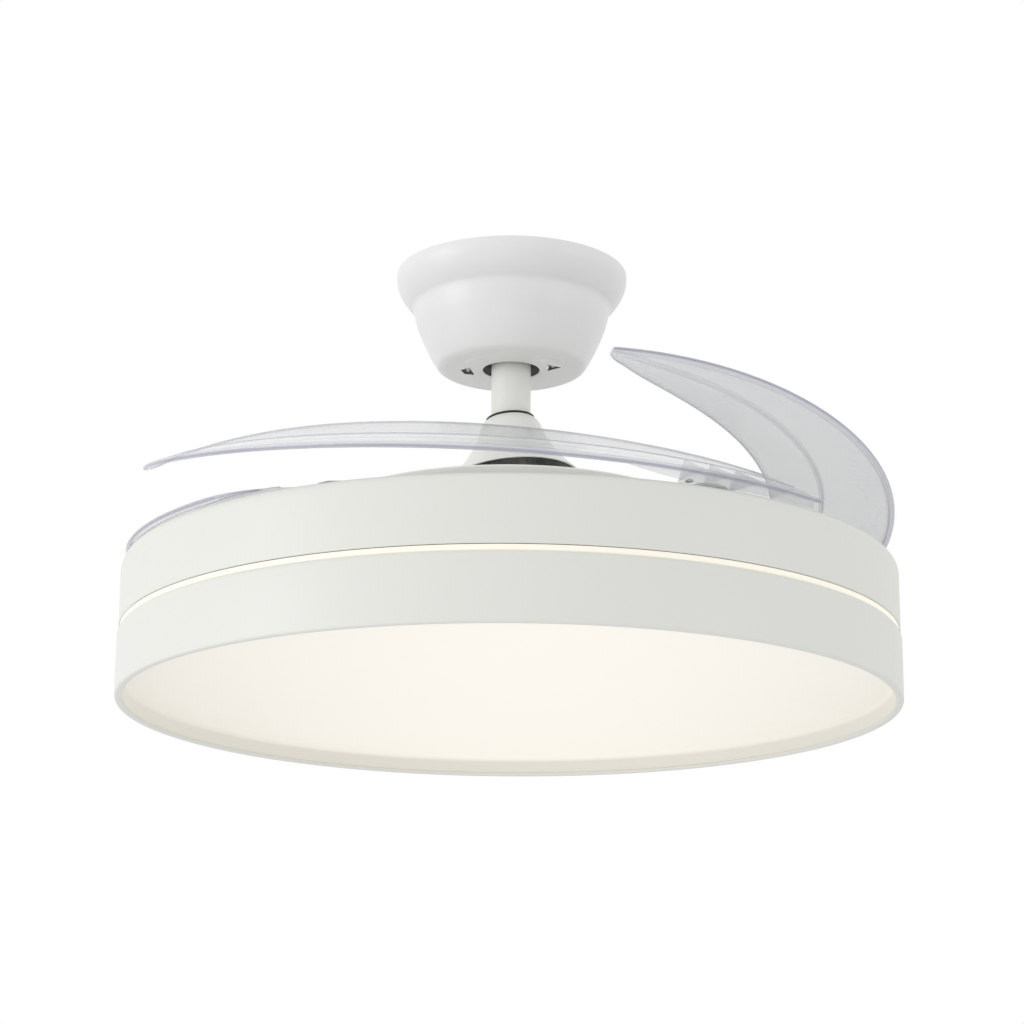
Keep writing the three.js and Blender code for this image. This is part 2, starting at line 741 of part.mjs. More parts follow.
function bladeSpring() {
  const section = new THREE.Shape(
    ringOutline(0, 0, WIRE_RADIUS, 5).map(([x, y]) => new THREE.Vector2(x, y)),
  );
  return new THREE.ExtrudeGeometry(section, {
    steps: 8 * COIL_TURNS,
    extrudePath: new Helix(),
    bevelEnabled: false,
  });
}

// Rubber stop that each arm rests against when its blade is folded.
const BUMPER_RADIUS = 4;
const BUMPER_REACH = 31.5;
const bumperAngle = (side, from) => {
  const clear = Math.asin((ARM_HALF_WIDTH + BUMPER_RADIUS + RUN_GAP) / BUMPER_REACH);
  return RAD(from) + side * clear;
};
const BUMPER_TOP = ARM_BOTTOM + ARM_THICK - 0.4;

function stopBumper() {
  const a = bumperAngle(-1, ARM_DIRECTION_DEG);
  const x = PIVOT_RADIUS + BUMPER_REACH * Math.cos(a);
  const y = BUMPER_REACH * Math.sin(a);
  return disc(x, y, BUMPER_RADIUS, CARRIER_TOP + SEAT_GAP, BUMPER_TOP);
}

// Carrier: a disc with four lobes. A raised stud on each lobe stops the opened arm.
const LOBE_RADIUS = 37;
const NECK_HALF_WIDTH = 30;
const CARRIER_DISC_RADIUS = 108;

function bladeCarrier() {
  const pieces = [];
  const holes = [];
  for (let index = 0; index < BLADE_COUNT; index += 1) {
    const neck = plate(
      [
        [60, -NECK_HALF_WIDTH], [PIVOT_RADIUS, -LOBE_RADIUS + 2],
        [PIVOT_RADIUS, LOBE_RADIUS - 2], [60, NECK_HALF_WIDTH],
      ],
      CARRIER_BOTTOM,
      CARRIER_THICK,
    );
    const lobe = disc(PIVOT_RADIUS, 0, LOBE_RADIUS, CARRIER_BOTTOM, CARRIER_TOP, TUBE_STEPS);
    const a = bumperAngle(1, ARM_DIRECTION_DEG + OPENING_DEG);
    const x = PIVOT_RADIUS + BUMPER_REACH * Math.cos(a);
    const y = BUMPER_REACH * Math.sin(a);
    const stud = disc(x, y, BUMPER_RADIUS - SEAT_GAP, CARRIER_TOP - 1, BUMPER_TOP);
    const hole = disc(PIVOT_RADIUS, 0, PIN_BORE, CARRIER_BOTTOM - 1, CARRIER_TOP + 1);
    pieces.push(...[neck, lobe, stud].map((piece) => atPivot(piece, index)));
    holes.push(atPivot(hole, index));
  }
  const hub = disc(0, 0, CARRIER_DISC_RADIUS, CARRIER_BOTTOM, CARRIER_TOP, BOWL_STEPS);
  const centre = disc(0, 0, 24, CARRIER_BOTTOM - 1, CARRIER_TOP + 1, TUBE_STEPS);
  return cut(joined(hub, ...pieces), centre, ...holes);
}
add("blade_carrier", bladeCarrier(), ZINC);

// ---------------------------------------------------------------- blades

// A blade is a clear crescent sheet. u runs from 0 at the heel to 1 at the tip. Its thick
// outer edge climbs from just over the lamp, its thin inner edge stands higher, and the
// two meet at the tip, so the sheet is steep at the heel and flat at the tip.
const OUTER_RADIUS_DROP = 8.5;
const WIDTH_HEEL = 51;
const WIDTH_GAIN = 140;
const CLOSING_POWER = 0.6;
const HEEL_HEIGHT = LAMP_TOP + 5.3;

const LOW_BLADE = {
  outer: (u) => HEEL_HEIGHT + 45.4 * u ** 2 + 5.1 * u ** 5,
  rise: (u) => 29 + 56 * u,
};
// The left-hand blade's heel lies lower and flatter.
const FLAT_HEEL_BLADE = {
  outer: (u) => LOW_BLADE.outer(u) - 1.5,
  rise: (u) => LOW_BLADE.rise(u) - 16 * Math.max(1 - u / 0.7, 0) ** 1.35,
};
// The right-hand blade lies flatter and ends higher than its neighbours.
const HIGH_BLADE = {
  outer: (u) => HEEL_HEIGHT + 72.5 * (3 * u ** 2 - 2 * u ** 3),
  rise: (u) => 32 - 56 * u ** 2,
};

const closing = (u) => Math.max(1 - u, 0) ** CLOSING_POWER;
const outerRadius = (u) => OUTER_RADIUS_HEEL - OUTER_RADIUS_DROP * u ** 2;
const bladeWidth = (u) => closing(u) * (WIDTH_HEEL + WIDTH_GAIN * u);

// Sheet section across the blade: distance from the outer edge and half thickness.
const BEAD_HALF = 2.3;
const SHEET_HALF = 1.1;
const RIB_HALF = 1.7;
const BEAD_WIDTH = 4.2;
const SMALL_WIDTH = 13;          // narrower than this, near the tip, the section shrinks
const HEEL_ROUND_DEG = 7;
const HEEL_ROUND_CUT = 13;
const BLADE_STATIONS = 19;

const ribPlace = (u) => 0.62 - 0.26 * u;

function bladeSection(u) {
  const width = bladeWidth(u);
  const shrink = Math.min(1, width / SMALL_WIDTH);
  const rib = width * ribPlace(u);
  const upper = [
    [0, 0.9 * shrink],
    [1.2 * shrink, BEAD_HALF * shrink],
    [BEAD_WIDTH * shrink, BEAD_HALF * shrink],
    [(BEAD_WIDTH + 2) * shrink, SHEET_HALF * shrink],
    [Math.max(rib - 1.3, (BEAD_WIDTH + 2.4) * shrink), SHEET_HALF * shrink],
    [Math.max(rib, (BEAD_WIDTH + 2.8) * shrink), RIB_HALF * shrink],
    [Math.max(rib + 1.3, (BEAD_WIDTH + 3.2) * shrink), SHEET_HALF * shrink],
    [width - 1.5 * shrink, 0.9 * shrink],
    [width, 0.5 * shrink],
  ];
  // The underside has the thick edge but no rib.
  const lower = [...upper.slice(0, 4), upper.at(-1)].map(([across, off]) => [across, -off]);
  return [...upper, ...lower.reverse()];
}

// A point on the sheet, for a pivot on +X: distance across from the outer edge, and
// distance off the sheet's middle.
function sheetPoint(law, u, across, off) {
  const angle = -RAD(BLADE_SWEEP_DEG * u);
  const width = Math.max(bladeWidth(u), 0.01);
  const rise = closing(u) * law.rise(u);
  const chord = Math.hypot(width, rise);
  const [dr, dz] = [-width / chord, rise / chord];
  const stretch = chord / width;
  const r = outerRadius(u) + across * stretch * dr + off * dz;
  const z = level(law.outer(u)) + across * stretch * dz - off * dr;
  return [r * Math.cos(angle), r * Math.sin(angle), z];
}

function sheetHeight(law, u, radius) {
  const rise = closing(u) * law.rise(u);
  return level(law.outer(u)) + (rise * (outerRadius(u) - radius)) / bladeWidth(u);
}

function heelCut(u) {
  const k = Math.max(0, 1 - (u * BLADE_SWEEP_DEG) / HEEL_ROUND_DEG);
  return HEEL_ROUND_CUT * (1 - Math.sqrt(1 - k * k));
}

// A closed skin over rows of points, with a flat cap of the given outline at each end.
function skin(rows, capOutline) {
  const size = capOutline.length;
  const triangles = [];
  for (let row = 0; row + 1 < rows.length; row += 1) {
    for (let i = 0; i < size; i += 1) {
      const a = row * size + i;
      const b = row * size + ((i + 1) % size);
      triangles.push(a, b, a + size, b, b + size, a + size);
    }
  }
  const capFaces = THREE.ShapeUtils.triangulateShape(
    capOutline.map(([x, y]) => new THREE.Vector2(x, y)), [],
  );
  const last = (rows.length - 1) * size;
  for (const [a, b, c] of capFaces) {
    triangles.push(a, b, c);
    triangles.push(last + a, last + c, last + b);
  }
  const geometry = new THREE.BufferGeometry();
  geometry.setAttribute("position", new THREE.Float32BufferAttribute(rows.flat(2), 3));
  geometry.setIndex(triangles);
  return geometry;
}

function bladeSheet(law) {
  const stations = [0, 0.006, 0.024];
  for (let i = 1; i <= BLADE_STATIONS; i += 1) {
    const t = i / BLADE_STATIONS;
    stations.push(0.055 + (0.9985 - 0.055) * (1 - (1 - t) ** 1.7));
  }
  const rows = stations.map((u) => {
    const trim = heelCut(u);
    return bladeSection(u).map(([across, off]) => {
      const squeezed = trim + across * (1 - trim / bladeWidth(u));
      return sheetPoint(law, u, squeezed, off);
    });
  });
  return skin(rows, bladeSection(0));
}

// A skirt under the thick edge near the heel. Its foot runs just over the lamp, and its
// far end curves up into the edge.
const SKIRT_FROM = 0.04;
const SKIRT_TO = 0.285;
const SKIRT_BEND = 0.19;         // where the foot starts to climb
const SKIRT_FOOT = level(LAMP_TOP + 0.9);
const SKIRT_INSET = 1;
const SKIRT_THICK = 2;
const SKIRT_STATIONS = 9;

function skirt(law) {
  const rows = [];
  for (let i = 0; i <= SKIRT_STATIONS; i += 1) {
    const u = SKIRT_FROM + ((SKIRT_TO - SKIRT_FROM) * i) / SKIRT_STATIONS;
    const outer = outerRadius(u) - SKIRT_INSET;
    const inner = outer - SKIRT_THICK;
    const climb = Math.max(0, (u - SKIRT_BEND) / (SKIRT_TO - SKIRT_BEND)) ** 2;
    const angle = -RAD(BLADE_SWEEP_DEG * u);
    const point = (r, z) => [r * Math.cos(angle), r * Math.sin(angle), z];
    const edge = sheetHeight(law, u, outer);
    const foot = SKIRT_FOOT + (edge - 0.6 - SKIRT_FOOT) * climb;
    const innerEdge = sheetHeight(law, u, inner);
    rows.push([point(outer, edge), point(inner, innerEdge), point(inner, foot), point(outer, foot)]);
  }
  return skin(rows, [[0, 1], [1, 1], [1, 0], [0, 0]]);
}

const SHELF_THICK = 3;
const SHELF_BOTTOM = ARM_BOTTOM + ARM_THICK + SEAT_GAP;
const SHELF_FROM_DEG = 4;
const SHELF_TO_DEG = 27;
const SHELF_INNER = PIVOT_RADIUS + 16;
const SHELF_LOW_SIDE = 3;        // how far the shelf stays back from the sheet's far face
const GUSSETS_DEG = [10, 17, 24];
const GUSSET_THICK = 2;
// Where a gusset starts at its foot and at its top, and where it ends, across the shelf
const GUSSET_SPAN = [0.2, 0.42, 0.93];

// Flat shelf under the heel, screwed to the arm, with gussets up to the sheet.
function rootShelf(law) {
  const outerAt = (deg) => {
    const u = deg / BLADE_SWEEP_DEG;
    const drop = level(law.outer(u)) - SHELF_BOTTOM - SHELF_THICK / 2;
    const slope = (closing(u) * law.rise(u)) / bladeWidth(u);
    return outerRadius(u) + drop / slope - SHELF_LOW_SIDE;
  };
  const outerSteps = 4;
  const degrees = Array.from({ length: outerSteps + 1 }, (_, i) =>
    THREE.MathUtils.lerp(SHELF_FROM_DEG, SHELF_TO_DEG, i / outerSteps),
  );
  const place = (r, deg) => [r * Math.cos(-RAD(deg)), r * Math.sin(-RAD(deg))];
  const outline = [
    ...degrees.map((deg) => place(outerAt(deg), deg)),
    place(SHELF_INNER + 14, SHELF_TO_DEG),
    place(SHELF_INNER, SHELF_TO_DEG - 4),
    place(SHELF_INNER, SHELF_FROM_DEG + 3),
    place(SHELF_INNER + 10, SHELF_FROM_DEG),
  ];
  const shelf = plate(outline.reverse(), SHELF_BOTTOM, SHELF_THICK);
  const gussets = GUSSETS_DEG.map((deg) => {
    const u = deg / BLADE_SWEEP_DEG;
    const [near, top, far] = GUSSET_SPAN.map((share) =>
      THREE.MathUtils.lerp(SHELF_INNER, outerAt(deg), share),
    );
    const side = new THREE.Shape([
      new THREE.Vector2(near, SHELF_BOTTOM + 1),
      new THREE.Vector2(far, SHELF_BOTTOM + 1),
      new THREE.Vector2(far, sheetHeight(law, u, far)),
      new THREE.Vector2(top, sheetHeight(law, u, top)),
    ]);
    const wall = new THREE.ExtrudeGeometry(side, { depth: GUSSET_THICK, bevelEnabled: false });
    wall.translate(0, 0, -GUSSET_THICK / 2);
    wall.rotateX(Math.PI / 2);
    wall.rotateZ(-RAD(deg));
    return wall;
  });
  return [shelf, ...gussets];
}

const blade = (law) => joined(bladeSheet(law), skirt(law), ...rootShelf(law));

const lowBlade = blade(LOW_BLADE);
const bladeShapes = {
  front: lowBlade,
  right: blade(HIGH_BLADE),
  rear: lowBlade,
  left: blade(FLAT_HEEL_BLADE),
};
const arm = hingeArm();
const pin = pivotPin();
const spring = bladeSpring();
const bumper = stopBumper();

// Going round anticlockwise from the front, seen from above.
const BLADE_NAMES = ["front", "right", "rear", "left"];
BLADE_NAMES.forEach((name, index) => {
  add(`blade_${name}`, atPivot(bladeShapes[name], index), CLEAR_PLASTIC);
  add(`hinge_arm_${name}`, atPivot(arm, index), STEEL);
  add(`pivot_pin_${name}`, atPivot(pin, index), STEEL);
  add(`blade_spring_${name}`, atPivot(spring, index), STEEL);
  add(`stop_bumper_${name}`, atPivot(bumper, index), RUBBER);
});

// ---------------------------------------------------------------- lamp

const BAND_WALL = 1.5;
const CHASSIS_INSET = 18;        // from the lamp's side in to the chassis's upper edge
const CHASSIS_TOP = level(LAMP_TOP - BAND_WALL);
const CHASSIS_RADIUS = LAMP_RADIUS - CHASSIS_INSET;
const CHASSIS_WALL = 1.2;
const CHASSIS_CORE = 62;
const CHASSIS_BOTTOM = level(BAND_HEIGHT - BAND_WALL - CHASSIS_WALL) - SEAT_GAP;
const CHASSIS_FLANGE = 8;        // the lower band rests on this edge of the chassis
const SHAFT_HOLE = SHAFT_RADIUS + 2 * SEAT_GAP;

add(
  "lamp_chassis",
  turned(
    [
      [SHAFT_HOLE, CHASSIS_TOP - CHASSIS_WALL],
      [CHASSIS_CORE - CHASSIS_WALL, CHASSIS_TOP - CHASSIS_WALL],
      [CHASSIS_CORE - CHASSIS_WALL, CHASSIS_BOTTOM],
      [CHASSIS_RADIUS + CHASSIS_FLANGE, CHASSIS_BOTTOM],
      [CHASSIS_RADIUS + CHASSIS_FLANGE, CHASSIS_BOTTOM + CHASSIS_WALL],
      [CHASSIS_CORE, CHASSIS_BOTTOM + CHASSIS_WALL],
      [CHASSIS_CORE, CHASSIS_TOP - CHASSIS_WALL],
      [CHASSIS_RADIUS, CHASSIS_TOP - CHASSIS_WALL],
      [CHASSIS_RADIUS, CHASSIS_TOP],
      [SHAFT_HOLE, CHASSIS_TOP],
    ],
    BOWL_STEPS,
  ),
  WHITE_PAINT,
);

const WASHER_THICK = 2;
const NUT_THICK = 8;
const washerTop = CHASSIS_TOP - CHASSIS_WALL - SEAT_GAP;
const washerBottom = washerTop - WASHER_THICK;
add(
  "shaft_washer",
  turned(
    [
      [SHAFT_HOLE, washerBottom],
      [20, washerBottom],
      [20, washerTop],
      [SHAFT_HOLE, washerTop],
    ],
    SMALL_STEPS,
  ),
  STEEL,
);
const nutTop = washerBottom - SEAT_GAP;
add(
  "shaft_nut",
  plate(ringOutline(0, 0, 15, 6), nutTop - NUT_THICK, NUT_THICK, [
    ringOutline(0, 0, SHAFT_HOLE + SEAT_GAP, SMALL_STEPS),
  ]),
  STEEL,
);

// Upper band: a rolled steel hoop with a rounded shoulder and an inward flange.
const UPPER_RADIUS = LAMP_RADIUS - 0.8;
const UPPER_BOTTOM = level(BAND_HEIGHT + GLOW_GAP);
const UPPER_TOP = level(LAMP_TOP);
const SHOULDER = 7;
add(
  "upper_band",
  turned(
    [
      [UPPER_RADIUS, UPPER_BOTTOM],
      [UPPER_RADIUS, UPPER_TOP - SHOULDER],
      [UPPER_RADIUS - 0.22 * SHOULDER, UPPER_TOP - 0.4 * SHOULDER],
      [UPPER_RADIUS - 0.6 * SHOULDER, UPPER_TOP - 0.09 * SHOULDER],
      [UPPER_RADIUS - SHOULDER - 1, UPPER_TOP],
      [CHASSIS_RADIUS - 4, UPPER_TOP],
      [CHASSIS_RADIUS - 4, UPPER_TOP - BAND_WALL + SEAT_GAP],
      [UPPER_RADIUS - SHOULDER - 1, UPPER_TOP - BAND_WALL + SEAT_GAP],
      [UPPER_RADIUS - BAND_WALL, UPPER_TOP - SHOULDER],
      [UPPER_RADIUS - BAND_WALL, UPPER_BOTTOM],
    ],
    BAND_STEPS,
  ),
  WHITE_PAINT,
);

const GLOW_RECESS = 1.6;
add(
  "glow_ring",
  turned(
    [
      [LAMP_RADIUS - 14, level(BAND_HEIGHT + SEAT_GAP)],
      [LAMP_RADIUS - GLOW_RECESS, level(BAND_HEIGHT + SEAT_GAP)],
      [LAMP_RADIUS - GLOW_RECESS, UPPER_BOTTOM - SEAT_GAP],
      [LAMP_RADIUS - 14, UPPER_BOTTOM - SEAT_GAP],
    ],
    BAND_STEPS,
  ),
  CREAM_GLOW,
);

// Lower band: flange above, plain hoop, and the rolled rim that the diffuser rests on.
const RIM_INNER = LAMP_RADIUS - 5;
const bandFlange = level(BAND_HEIGHT);
add(
  "lower_band",
  turned(
    [
      [RIM_INNER, level(0.6)],
      [RIM_INNER + 1, level(0)],
      [LAMP_RADIUS - 1.6, level(0)],
      [LAMP_RADIUS, level(1.8)],
      [LAMP_RADIUS, bandFlange - 3],
      [LAMP_RADIUS - 2.4, bandFlange],
      [LAMP_RADIUS - 12, bandFlange],
      [LAMP_RADIUS - 12, bandFlange - BAND_WALL],
      [LAMP_RADIUS - BAND_WALL, bandFlange - BAND_WALL],
      [LAMP_RADIUS - BAND_WALL, level(1.9)],
      [RIM_INNER, level(1.9)],
    ],
    BAND_STEPS,
  ),
  WHITE_PAINT,
);

const BOARD_TOP = CHASSIS_BOTTOM - SEAT_GAP;
const BOARD_THICK = 1.6;
add(
  "led_board",
  turned(
    [
      [CHASSIS_CORE + 8, BOARD_TOP - BOARD_THICK],
      [CHASSIS_RADIUS - 8, BOARD_TOP - BOARD_THICK],
      [CHASSIS_RADIUS - 8, BOARD_TOP],
      [CHASSIS_CORE + 8, BOARD_TOP],
    ],
    BOWL_STEPS,
  ),
  BOARD_WHITE,
);

// Two control boxes stand in the chassis, one on each side of its core.
const boxBottom = CHASSIS_BOTTOM + CHASSIS_WALL + SEAT_GAP;
const DRIVER = { fromCore: 18, fromEdge: 32, halfWidth: 25, height: 28 };
const CONTROLLER = { fromCore: 28, fromEdge: 42, halfWidth: 28, height: 24 };
add(
  "led_driver",
  box(
    CHASSIS_CORE + DRIVER.fromCore, CHASSIS_RADIUS - DRIVER.fromEdge,
    -DRIVER.halfWidth, DRIVER.halfWidth,
    boxBottom, boxBottom + DRIVER.height,
  ),
  GREY_PLASTIC,
);
add(
  "fan_controller",
  box(
    CONTROLLER.fromEdge - CHASSIS_RADIUS, -CHASSIS_CORE - CONTROLLER.fromCore,
    -CONTROLLER.halfWidth, CONTROLLER.halfWidth,
    boxBottom, boxBottom + CONTROLLER.height,
  ),
  BLACK_PLASTIC,
);

// Diffuser: a shallow opal pan upside down, with its wall standing on the rim.
const PAN_FOOT = level(2.2);
const PAN_FLOOR = level(13);
const PAN_WALL = 1.4;
const PAN_RADIUS = LAMP_RADIUS - BAND_WALL - 1;
add(
  "diffuser",
  turned(
    [
      [0, PAN_FLOOR],
      [PAN_RADIUS - 4.4, PAN_FLOOR],
      [PAN_RADIUS - PAN_WALL, PAN_FOOT],
      [PAN_RADIUS, PAN_FOOT],
      [PAN_RADIUS - 1.6, PAN_FLOOR + 2],
      [0, PAN_FLOOR + 2],
    ],
    BAND_STEPS,
  ),
  OPAL_GLOW,
);

export default group;
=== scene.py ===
import math

import bmesh
import bpy
from mathutils import Matrix, Vector


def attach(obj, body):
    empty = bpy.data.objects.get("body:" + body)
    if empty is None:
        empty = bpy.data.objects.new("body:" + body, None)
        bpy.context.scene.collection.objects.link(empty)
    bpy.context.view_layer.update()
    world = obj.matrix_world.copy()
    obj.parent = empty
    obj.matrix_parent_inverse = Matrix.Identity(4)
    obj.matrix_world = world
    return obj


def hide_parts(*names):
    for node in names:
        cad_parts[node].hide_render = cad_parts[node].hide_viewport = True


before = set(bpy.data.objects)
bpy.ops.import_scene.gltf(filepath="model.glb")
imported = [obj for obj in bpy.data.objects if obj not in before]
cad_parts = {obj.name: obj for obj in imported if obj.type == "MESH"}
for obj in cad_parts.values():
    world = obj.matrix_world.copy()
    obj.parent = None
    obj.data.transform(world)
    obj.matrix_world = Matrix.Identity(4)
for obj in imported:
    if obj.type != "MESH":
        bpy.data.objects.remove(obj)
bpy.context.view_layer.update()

# ---------------------------------------------------------------------------
# Viewpoint. The fan is seen from below and in front, from about a metre and
# three quarters away, through a long lens.
eye = bpy.data.cameras.new("viewpoint")
eye.sensor_width = 36
eye.lens = 94.8
eye_place = (0.00112, -1.6942, -0.6288)
level, looking_up, roll = 90, 15.38, 0.351
viewpoint = bpy.data.objects.new("viewpoint", eye)
viewpoint.matrix_world = (
    Matrix.Translation(eye_place)
    @ Matrix.Rotation(math.radians(level + looking_up), 4, "X")
    @ Matrix.Rotation(math.radians(roll), 4, "Z")
)
bpy.context.scene.collection.objects.link(viewpoint)
bpy.context.scene.camera = viewpoint

# ---------------------------------------------------------------------------
# Canopy. A pressed steel bowl with a rolled lip under the ceiling, painted white,
# with a hole for the rod and two slots where the bracket's tabs come through.
MM = 0.001
# In metres: corners nearer than this are one, and edges shorter than this are none.
SAME_PLACE, NO_LENGTH = 1e-6, 1e-7


class Wire:
    """One value in a shader tree, so that patterns add and multiply as they read."""

    def __init__(self, tree, socket):
        self.tree = tree
        self.socket = socket

    def math(self, operation, first, second=None):
        node = self.tree.nodes.new("ShaderNodeMath")
        node.operation = operation
        for place, value in enumerate((first, second)):
            if isinstance(value, Wire):
                self.tree.links.new(value.socket, node.inputs[place])
            elif value is not None:
                node.inputs[place].default_value = value
        return Wire(self.tree, node.outputs[0])

    def __add__(self, other):
        return self.math("ADD", self, other)

    __radd__ = __add__

    def __sub__(self, other):
        return self.math("SUBTRACT", self, other)

    def __rsub__(self, other):
        return self.math("SUBTRACT", other, self)

    def __mul__(self, other):
        return self.math("MULTIPLY", self, other)

    __rmul__ = __mul__

    def kept(self):
        """The value held between 0 and 1."""
        held = self.math("ADD", self, 0.0)
        held.socket.node.use_clamp = True
        return held


class Finish:
    """A material in the making."""

    def __init__(self, name):
        self.material = bpy.data.materials.new(name)
        self.material.use_nodes = True
        self.tree = self.material.node_tree
        self.tree.nodes.clear()

    def node(self, kind, sockets=None, out=0, **settings):
        made = self.tree.nodes.new(kind)
        for name, value in settings.items():
            setattr(made, name, value)
        for name, value in (sockets or {}).items():
            if isinstance(value, Wire):
                self.tree.links.new(value.socket, made.inputs[name])
            else:
                made.inputs[name].default_value = value
        return Wire(self.tree, made.outputs[out]) if made.outputs else None

    def place(self):
        return self.node("ShaderNodeTexCoord", out="Object")

    def marked(self, name):
        """A number that the mesh itself carries for each place."""
        return self.node("ShaderNodeAttribute", out="Fac", attribute_name=name)

    def noise(self, scale, detail, roughness=0.5):
        return self.node("ShaderNodeTexNoise", {
            "Vector": self.place(), "Scale": scale, "Detail": detail, "Roughness": roughness,
        })

    def colours(self, share, first, second):
        """From the first colour to the second as the share goes from 0 to 1."""
        ends = [end if isinstance(end, Wire) else (*end, 1) for end in (first, second)]
        factor, first_colour, second_colour, colour_out = 0, 6, 7, 2
        sockets = {factor: share, first_colour: ends[0], second_colour: ends[1]}
        return self.node("ShaderNodeMix", sockets, out=colour_out, data_type="RGBA")

    def bumps(self, height, depth, strength=1.0):
        sockets = {"Height": height, "Distance": depth, "Strength": strength}
        return self.node("ShaderNodeBump", sockets)

    def done(self, sockets):
        surface = self.node("ShaderNodeBsdfPrincipled", sockets)
        self.node("ShaderNodeOutputMaterial", {"Surface": surface})
        return self.material


def white_paint(name, light, dark, gloss, peel):
    """Stoved paint: nearly even, with a faint orange peel and slightly uneven gloss. Where a mesh
    says that a face lies inside, it takes only the grey primer, made near black as painted shade
    for the dim inside."""
    # The primer is near black, darker than bare primer: painted shade for the dim inside of the
    # part.
    primer_and_inside_shade = (0.13, 0.135, 0.13)
    paint = Finish(name)
    drift = paint.noise(9, 3)
    peeling = paint.noise(620, 2)
    inside = paint.marked("inside")
    return paint.done({
        "Base Color": paint.colours(inside, paint.colours(drift, light, dark), primer_and_inside_shade),
        "Roughness": gloss + 0.1 * paint.noise(38, 3),
        "Coat Weight": 0.12,
        "Coat Roughness": 0.25,
        "Normal": paint.bumps(peeling, peel),
    })


def rounded(outline, arcs=5):
    """Corners given as (radius, height, rounding) in mm become small arcs of points."""
    points = []
    for place, (r, z, rounding) in enumerate(outline):
        here = Vector((r, z))
        before = Vector(outline[place - 1][:2]) - here
        after = Vector(outline[(place + 1) % len(outline)][:2]) - here
        if rounding <= 0:
            points.append(here)
            continue
        half = before.angle(after) / 2
        most = 0.48 * min(before.length, after.length)
        reach = min(rounding / math.tan(half), most)
        start = here + before.normalized() * reach
        end = here + after.normalized() * reach
        for step in range(arcs + 1):
            t = step / arcs
            points.append(start * (1 - t) ** 2 + here * 2 * t * (1 - t) + end * t * t)
    return points


def flowing(points, steps=6):
    """A smooth run of (radius, height) points through the ones that are given: a cubic
    between each two, whose slope at a point follows from the points beside it."""
    ends = [points[0], *points, points[-1]]
    run = []
    for place in range(len(points) - 1):
        a, b, c, d = (Vector(ends[place + k]) for k in range(4))
        for step in range(steps):
            t = step / steps
            run.append(
                b + (c - a) * t / 2 + (2 * a - 5 * b + 4 * c - d) * t * t / 2
                + (3 * b - a - 3 * c + d) * t ** 3 / 2
            )
    return [(p.x, p.y, 0) for p in (*run, Vector(points[-1]))]


def finished(name, mesh, crease=32):
    """A new object for a mesh whose flat faces meet in soft or crisp edges."""
    mesh.polygons.foreach_set("use_smooth", [True] * len(mesh.polygons))
    mesh.set_sharp_from_angle(angle=math.radians(crease))
    piece = bpy.data.objects.new(name, mesh)
    bpy.context.scene.collection.objects.link(piece)
    return piece


def meshed(name, shape):
    """The shape being built becomes a mesh."""
    mesh = bpy.data.meshes.new(name)
    shape.to_mesh(mesh)
    shape.free()
    return mesh


def turned(name, outline, steps=160, arcs=5, crease=32):
    """A closed outline in mm, turned round the fan's axis."""
    points = rounded(outline, arcs)
    shape = bmesh.new()
    rings = []
    for step in range(steps):
        angle = math.tau * step / steps
        c, s = math.cos(angle) * MM, math.sin(angle) * MM
        rings.append([shape.verts.new((p[0] * c, p[0] * s, p[1] * MM)) for p in points])
    for step in range(steps):
        here, there = rings[step], rings[(step + 1) % steps]
        for place in range(len(points)):
            follow = (place + 1) % len(points)
            shape.faces.new((here[place], there[place], there[follow], here[follow]))
    bmesh.ops.remove_doubles(shape, verts=shape.verts, dist=SAME_PLACE)
    bmesh.ops.dissolve_degenerate(shape, edges=shape.edges, dist=NO_LENGTH)
    bmesh.ops.recalc_face_normals(shape, faces=shape.faces)
    return finished(name, meshed(name, shape), crease)


def slab(name, under, over):
    """A closed piece between two outlines of as many (x, y, z) points, in mm."""
    shape = bmesh.new()
    low = [shape.verts.new(Vector(point) * MM) for point in under]
    high = [shape.verts.new(Vector(point) * MM) for point in over]
    shape.faces.new(low)
    shape.faces.new(high)
    for place in range(len(low)):
        beside = (place + 1) % len(low)
        shape.faces.new((low[place], low[beside], high[beside], high[place]))
    bmesh.ops.recalc_face_normals(shape, faces=shape.faces)
    return finished(name, meshed(name, shape))


def settled(piece):
    """The piece as its modifiers leave it, as a plain mesh."""
    held = bpy.context.evaluated_depsgraph_get()
    held.update()
    mesh = bpy.data.meshes.new_from_object(piece.evaluated_get(held))
    mesh.name = piece.name
    piece.modifiers.clear()
    piece.data = mesh
    return piece


def worked(piece, tools, operation="DIFFERENCE", crease=32, solver="EXACT"):
    """The piece with the tools cut from it or joined to it. The tools are used up."""
    for tool in tools:
        change = piece.modifiers.new("work", "BOOLEAN")
        change.operation = operation
        change.object = tool
        change.solver = solver
    settled(piece)
    for tool in tools:
        bpy.data.objects.remove(tool)
    piece.data.set_sharp_from_angle(angle=math.radians(crease))
    return piece


def mark_shaded_inside(piece, middle):
    """Mark the faces that look towards the middle height (in mm) of the fan's axis; the paint
    makes them near black, as painted shade.
    """
    inside = piece.data.attributes.new("inside", "FLOAT", "FACE")
    for face, mark in zip(piece.data.polygons, inside.data):
        away = face.center - Vector((0, 0, middle * MM))
        mark.value = 1.0 if face.normal.dot(away) < 0 else 0.0


def fitted(piece, material, body, slot, *nodes):
    """Paint the piece and hang it in its place in the fan."""
    piece.data.materials.clear()
    piece.data.materials.append(material)
    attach(piece, body)
    if nodes:
        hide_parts(*nodes)
    return piece


